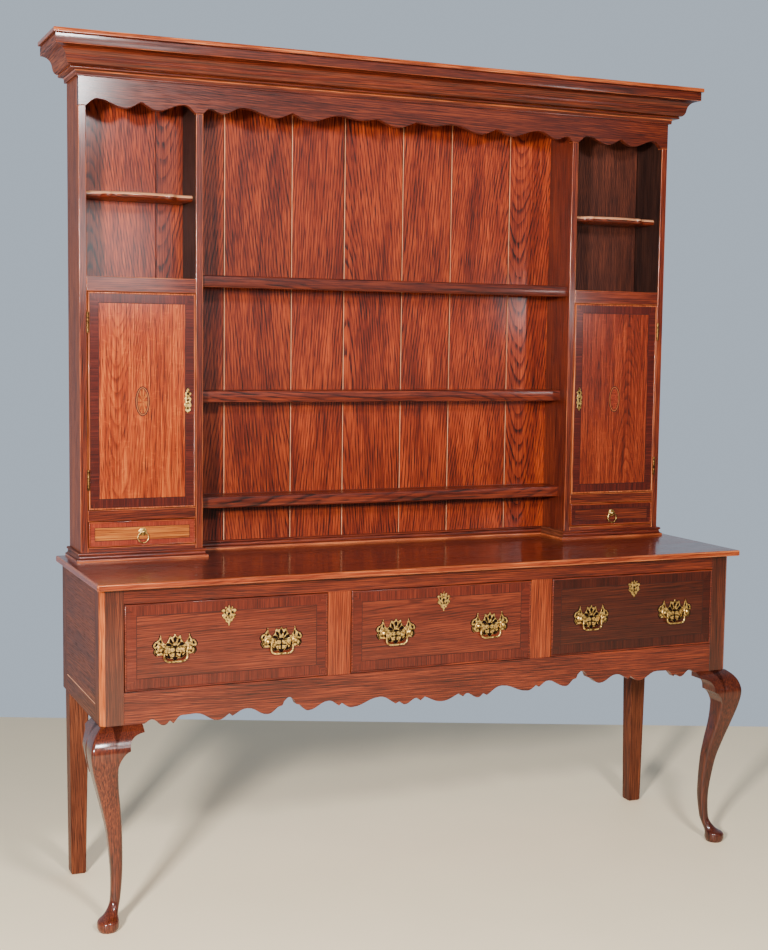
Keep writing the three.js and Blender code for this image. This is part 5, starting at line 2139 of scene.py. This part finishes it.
@dataclass
class BaseDrawer:
    """One of the three drawers of the base."""

    bench: Bench
    place: Place
    tray_arris: float = 0.0008
    plate_down: float = 0.040
    plate_half: tuple[Station, ...] = (
        (0.0, 0.025, True), (0.003, 0.018), (0.009, 0.021), (0.007, 0.014, True), (0.018, 0.013),
        (0.013, 0.005, True), (0.017, -0.002), (0.009, -0.010), (0.0075, -0.016, True),
        (0.004, -0.017), (0.0, -0.026, True))
    tone: float = 0.98
    shaded_tone: float = 0.40
    front_thickness: float = 0.020
    band: float = 0.024
    string: float = 0.0014
    side: float = 0.011
    bottom: float = 0.008
    foot: float = 0.006

    @property
    def body(self) -> str:
        """The body that the drawer's pieces move with."""
        return f"{self.place.word}_drawer"

    def build(self) -> None:
        """Builds all the pieces."""
        self.front()
        self.tray()
        self.keyhole_plate()
        for hand in Hand:
            WillowHandle(self.bench, self.body, hand).build()

    @property
    def box(self) -> Block:
        """The box of the drawer's front, whose foremost level is its face."""
        box = Block.of(f"{self.body}_front")
        return replace(box, y0=box.y1 - self.front_thickness)

    def front(self) -> None:
        """Makes the front with its crossbanding and its bead."""
        middle = Block.of(f"{self.body}_front").middle
        tone = self.shaded_tone if self.place is Place.RIGHT else self.tone
        front = Front(
            self.bench, self.body, self.box, middle, Cut.RAIL, DRAWER_OAK, CROSSBAND, CASE_OAK,
            (self.band, self.string), tone=tone)
        front.build(f"{self.body}_panel", f"{self.body}_front", "drawer_oak")

    def tray(self) -> None:
        """Makes the open box behind the front."""
        box = Block.of(f"{self.body}_box")
        blank = open_tray(box, self.side, self.bottom, self.foot)
        material = INNER_OAK.material(Cut.RUNNER, box.middle, f"{self.body}_tray")
        self.bench.place(f"{self.body}_tray", blank, [material], self.body,
                         f"{self.body}_box", "inner_oak", arris=self.tray_arris)

    def keyhole_plate(self) -> None:
        """Makes the shield-shaped keyhole plate over the middle of the drawer."""
        box = self.box
        middle = Vector((box.middle.x, box.y0, box.z1 - self.plate_down))
        piercings = [key_slot(0.004, 0.0036, 0.0125)]
        for x, z, half_width, half_height in (
            (0.0095, 0.007, 0.0026, 0.0040), (0.0075, -0.005, 0.0020, 0.0034),
        ):
            piercings += [diamond(side * x, z, half_width, half_height) for side in (1, -1)]
        plate = KeyholePlate(
            self.plate_half, piercings, thickness=0.0014, hole=(0.004, -0.008, 0.008))
        plate.build(self.bench, self.body, middle, box.y0, "drawer_oak")


@dataclass
class WillowHandle:
    """A pierced willow plate with two posts and a bail."""

    bench: Bench
    drawer: str
    hand: Hand
    half_width: float = 0.053
    half_height: float = 0.031
    thickness: float = 0.002
    post_spread: float = 0.036
    post_drop: float = 0.003
    post_length: float = 0.0125
    post_collar: tuple[Pair, ...] = (
        (0.0072, 0.0), (0.0072, -0.0024), (0.0058, -0.0032), (0.0052, -0.0040))
    post_tip: tuple[Pair, ...] = ((0.0052, 0.003), (0.0043, 0.0012), (0.0024, 0.0))
    arris: float = 0.0004
    wire: float = 0.0024
    wire_taper: float = 0.16
    bail_half: float = 0.028
    bail_steps: int = 90
    edge_shares: tuple[Station, ...] = (
        (0, 1, True), (0.10, 0.76), (0.25, 0.86, True), (0.32, 0.46), (0.46, 0.22, True),
        (0.60, 0.50), (0.66, 0.98, True), (0.75, 0.58), (0.92, 0.42, True), (1, 0.12),
        (0.90, -0.10, True), (0.96, -0.30), (0.84, -0.64, True), (0.66, -0.40), (0.52, -0.62, True),
        (0.30, -0.90), (0.14, -0.84, True), (0.07, -1.04), (0, -1.22, True))
    piercing_shares: tuple[tuple[Station, ...], ...] = (
        ((0, 0.84, True), (0.085, 0.60), (0, 0.28, True), (-0.085, 0.60)),
        ((0.235, 0.70, True), (0.27, 0.46), (0.09, 0.14, True), (0.12, 0.46)),
        ((0.44, 0.14, True), (0.34, 0.36), (0.12, 0.04, True), (0.26, 0.02)),
        ((0.05, -0.12, True), (0.19, -0.10), (0.19, -0.38, True), (0.05, -0.36)),
        ((0.25, -0.10, True), (0.47, -0.06), (0.44, -0.42, True), (0.25, -0.44)),
        ((0.05, -0.50, True), (0.27, -0.54, True), (0.20, -0.78, True), (0.05, -0.76, True)),
        ((0.34, -0.52, True), (0.46, -0.50, True), (0.36, -0.68, True)),
        ((0.645, 0.70, True), (0.71, 0.46), (0.66, 0.24, True), (0.60, 0.42)),
        ((0.79, 0.40, True), (0.90, 0.30), (0.91, 0.06, True), (0.82, 0.14)),
        ((0.85, -0.18, True), (0.89, -0.32), (0.82, -0.50, True), (0.78, -0.38)))

    @property
    def name(self) -> str:
        """The plate's name."""
        return f"{self.drawer}_{self.hand.word}_plate"

    def build(self) -> None:
        """Builds all the pieces."""
        self.plate()
        self.bail()

    def plate(self) -> None:
        """Makes the pierced plate and its two posts."""
        box = Block.of(self.name)
        middle = Vector((box.middle.x, box.y1, box.z1 - self.half_height))
        piercings = []
        for shares in self.piercing_shares:
            loop = self._scaled(shares)
            piercings.append(loop)
            if shares[0][0] > 0:
                piercings.append([(-x, z, *sharp) for x, z, *sharp in reversed(loop)])
        outline = doubled(self._scaled(self.edge_shares))
        sheet = CurveSheet(outline, piercings, self.thickness, self.arris)
        blank = sheet.blank(middle)
        profile = [*self.post_collar, *((x, up - self.post_length) for x, up in self.post_tip)]
        for side in (-1, 1):
            base = Vector((middle.x + side * self.post_spread, box.y1, middle.z - self.post_drop))
            blank.add_turned(profile, base, Axis.Y, sides=20)
        # The dark film paints the shade in the piercings and round the edge, with grime.
        self.bench.place(self.name, blank.extend(sheet.grime(middle)),
                         [BRASS.material(), GRIME_AND_SHADE.material()], self.drawer, self.name, "brass")

    def _scaled(self, shares: Iterable[Station]) -> list[Station]:
        """Turns shares of the plate's half sizes into lengths."""
        return [(x * self.half_width, z * self.half_height, *sharp) for x, z, *sharp in shares]

    def bail(self) -> None:
        """Makes the bail, whose pins turn outwards into the posts."""
        name = f"{self.drawer}_{self.hand.word}_bail"
        box = Block.of(name)
        wire, half = self.wire, self.bail_half
        low = box.z0 + wire - (box.z1 - wire)
        pivot = Vector((box.middle.x, box.middle.y, box.z1 - wire))
        side = [
            (self.post_spread + 0.002, 0.0), (half + 0.005, 0.0), (half + 0.0024, -0.0006),
            (half, -0.0035), (half - 0.0004, -0.010), (half + 0.0002, low + 0.012),
            (half - 0.002, low + 0.005), (half - 0.008, low + 0.0010), (half / 2, low), (0.0, low),
        ]
        xs, zs = zip(*side, *((-x, z) for x, z in reversed(side[:-1])))
        path, radii = [], []
        for step in range(self.bail_steps + 1):
            way = step / self.bail_steps
            x, z = spline_value(xs, way), spline_value(zs, way)
            path.append(pivot + Vector((x, 0, max(z, low))))
            depth = min(1.0, max(0.0, z / low))
            radii.append(wire * (1 - self.wire_taper + self.wire_taper * depth * depth))
        blank = Blank().add_tube(path, radii)
        self.bench.place(name, blank, [BRASS.material()], name, name, "brass")


# The picture


@dataclass(frozen=True)
class Lamp:
    """A soft square light of so many watts, hung at a place and turned to an aim."""

    name: str
    place: tuple[float, float, float]
    aim: tuple[float, float, float]
    size: float
    power: float

    def hang(self) -> None:
        """Hangs the light."""
        data = bpy.data.lights.new(self.name, "AREA")
        data.size = self.size
        data.energy = self.power
        light = stand(self.name, data)
        light.location = self.place
        heading = Vector(self.aim) - Vector(self.place)
        light.rotation_euler = heading.to_track_quat("-Z", "Y").to_euler()


@dataclass
class Studio:
    """The floor, the lights and the camera."""

    camera_place: tuple[float, float, float] = (-1.6299, -3.5711, 1.40856)
    yaw: float = 23.47
    pitch: float = -5.21
    roll: float = 0.72
    lens: float = 55.57
    sensor: float = 36.0
    room: float = 0.12
    wall: float = 0.80
    room_reach: Pair = (-0.7, 0.8)
    room_colour: Colour = stain(200, 214, 230)
    floor_back: float = 1.42
    floor_reach: float = 30.0
    lamps: tuple[Lamp, ...] = (
        Lamp("left", (-2.9, -3.5, 1.9), (0.0, 0.0, 1.1), 0.4, 395),
        Lamp("high", (-0.3, -3.5, 2.7), (0.0, 0.0, 1.2), 0.4, 110),
        Lamp("middle", (0.10, -3.6, 1.85), (-0.2, 0.0, 1.3), 0.5, 8),
        Lamp("right", (2.62, -3.6, 1.60), (0.3, 0.0, 1.3), 0.2, 3),
        Lamp("fill", (2.2, -5.0, 2.4), (0.0, 0.0, 1.0), 3.0, 20))

    def build(self) -> None:
        """Builds the studio."""
        self.floor()
        self.camera()
        for lamp in self.lamps:
            lamp.hang()
        self.room_light()

    def floor(self) -> None:
        """Lays a wide pale floor."""
        turn = Matrix.Rotation(math.radians(-self.yaw), 3, "Z")
        reach = self.floor_reach
        plan = rectangle(-reach, reach, -reach, self.floor_back)
        blank = Blank().add_face([turn @ Vector((x, y, 0)) for x, y in plan])
        piece = stand("floor", blank.mesh("floor"))
        piece.data.materials.append(FLOOR.material())
        piece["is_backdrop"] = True

    def camera(self) -> None:
        """Sets the camera where the photograph was taken from."""
        data = bpy.data.cameras.new("camera")
        data.lens = self.lens
        data.sensor_width = self.sensor
        piece = stand("camera", data)
        yaw, pitch, roll = (math.radians(a) for a in (self.yaw, self.pitch, self.roll))
        turn = (Matrix.Rotation(-yaw, 4, "Z") @ Matrix.Rotation(math.pi / 2 + pitch, 4, "X")
                @ Matrix.Rotation(roll, 4, "Z"))
        piece.matrix_world = Matrix.Translation(self.camera_place) @ turn
        bpy.context.scene.camera = piece

    def room_light(self) -> None:
        """Sets the light of the room, dim before the dresser and brighter behind it."""
        world = bpy.data.worlds.new("studio")
        recipe = Recipe(world)
        place = recipe.add("ShaderNodeTexCoord", None, None, "Generated")
        level = recipe.add("ShaderNodeSeparateXYZ", None, {0: place}, "Y")
        strength = level.eased(*self.room_reach, self.room, self.wall)
        sockets = {"Color": self.room_colour, "Strength": strength}
        recipe.end("ShaderNodeOutputWorld", recipe.add("ShaderNodeBackground", None, sockets))
        bpy.context.scene.world = world


def corners(bounds: tuple[Vector, Vector]) -> list[list[float]]:
    """Turns a pair of corners into plain lists of numbers."""
    return [list(map(float, corner)) for corner in bounds]


def main() -> None:
    """Builds the dresser round the frame and sets up its picture."""
    logging.basicConfig(level=logging.INFO, format="%(message)s")
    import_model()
    frame_bounds = corners(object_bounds())
    bench = Bench()
    Studio().build()
    BaseCase(bench).build()
    for hand in Hand:
        CabrioleLeg(bench, hand).build()
    for place in Place:
        BaseDrawer(bench, place).build()
    RackCase(bench).build()
    Crown(bench).build()
    for hand in Hand:
        Cupboard(bench, hand).build()
        SmallDrawer(bench, hand).build()
    {"cad": frame_bounds, "visual": corners(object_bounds())}


if __name__ == "__main__":
    main()
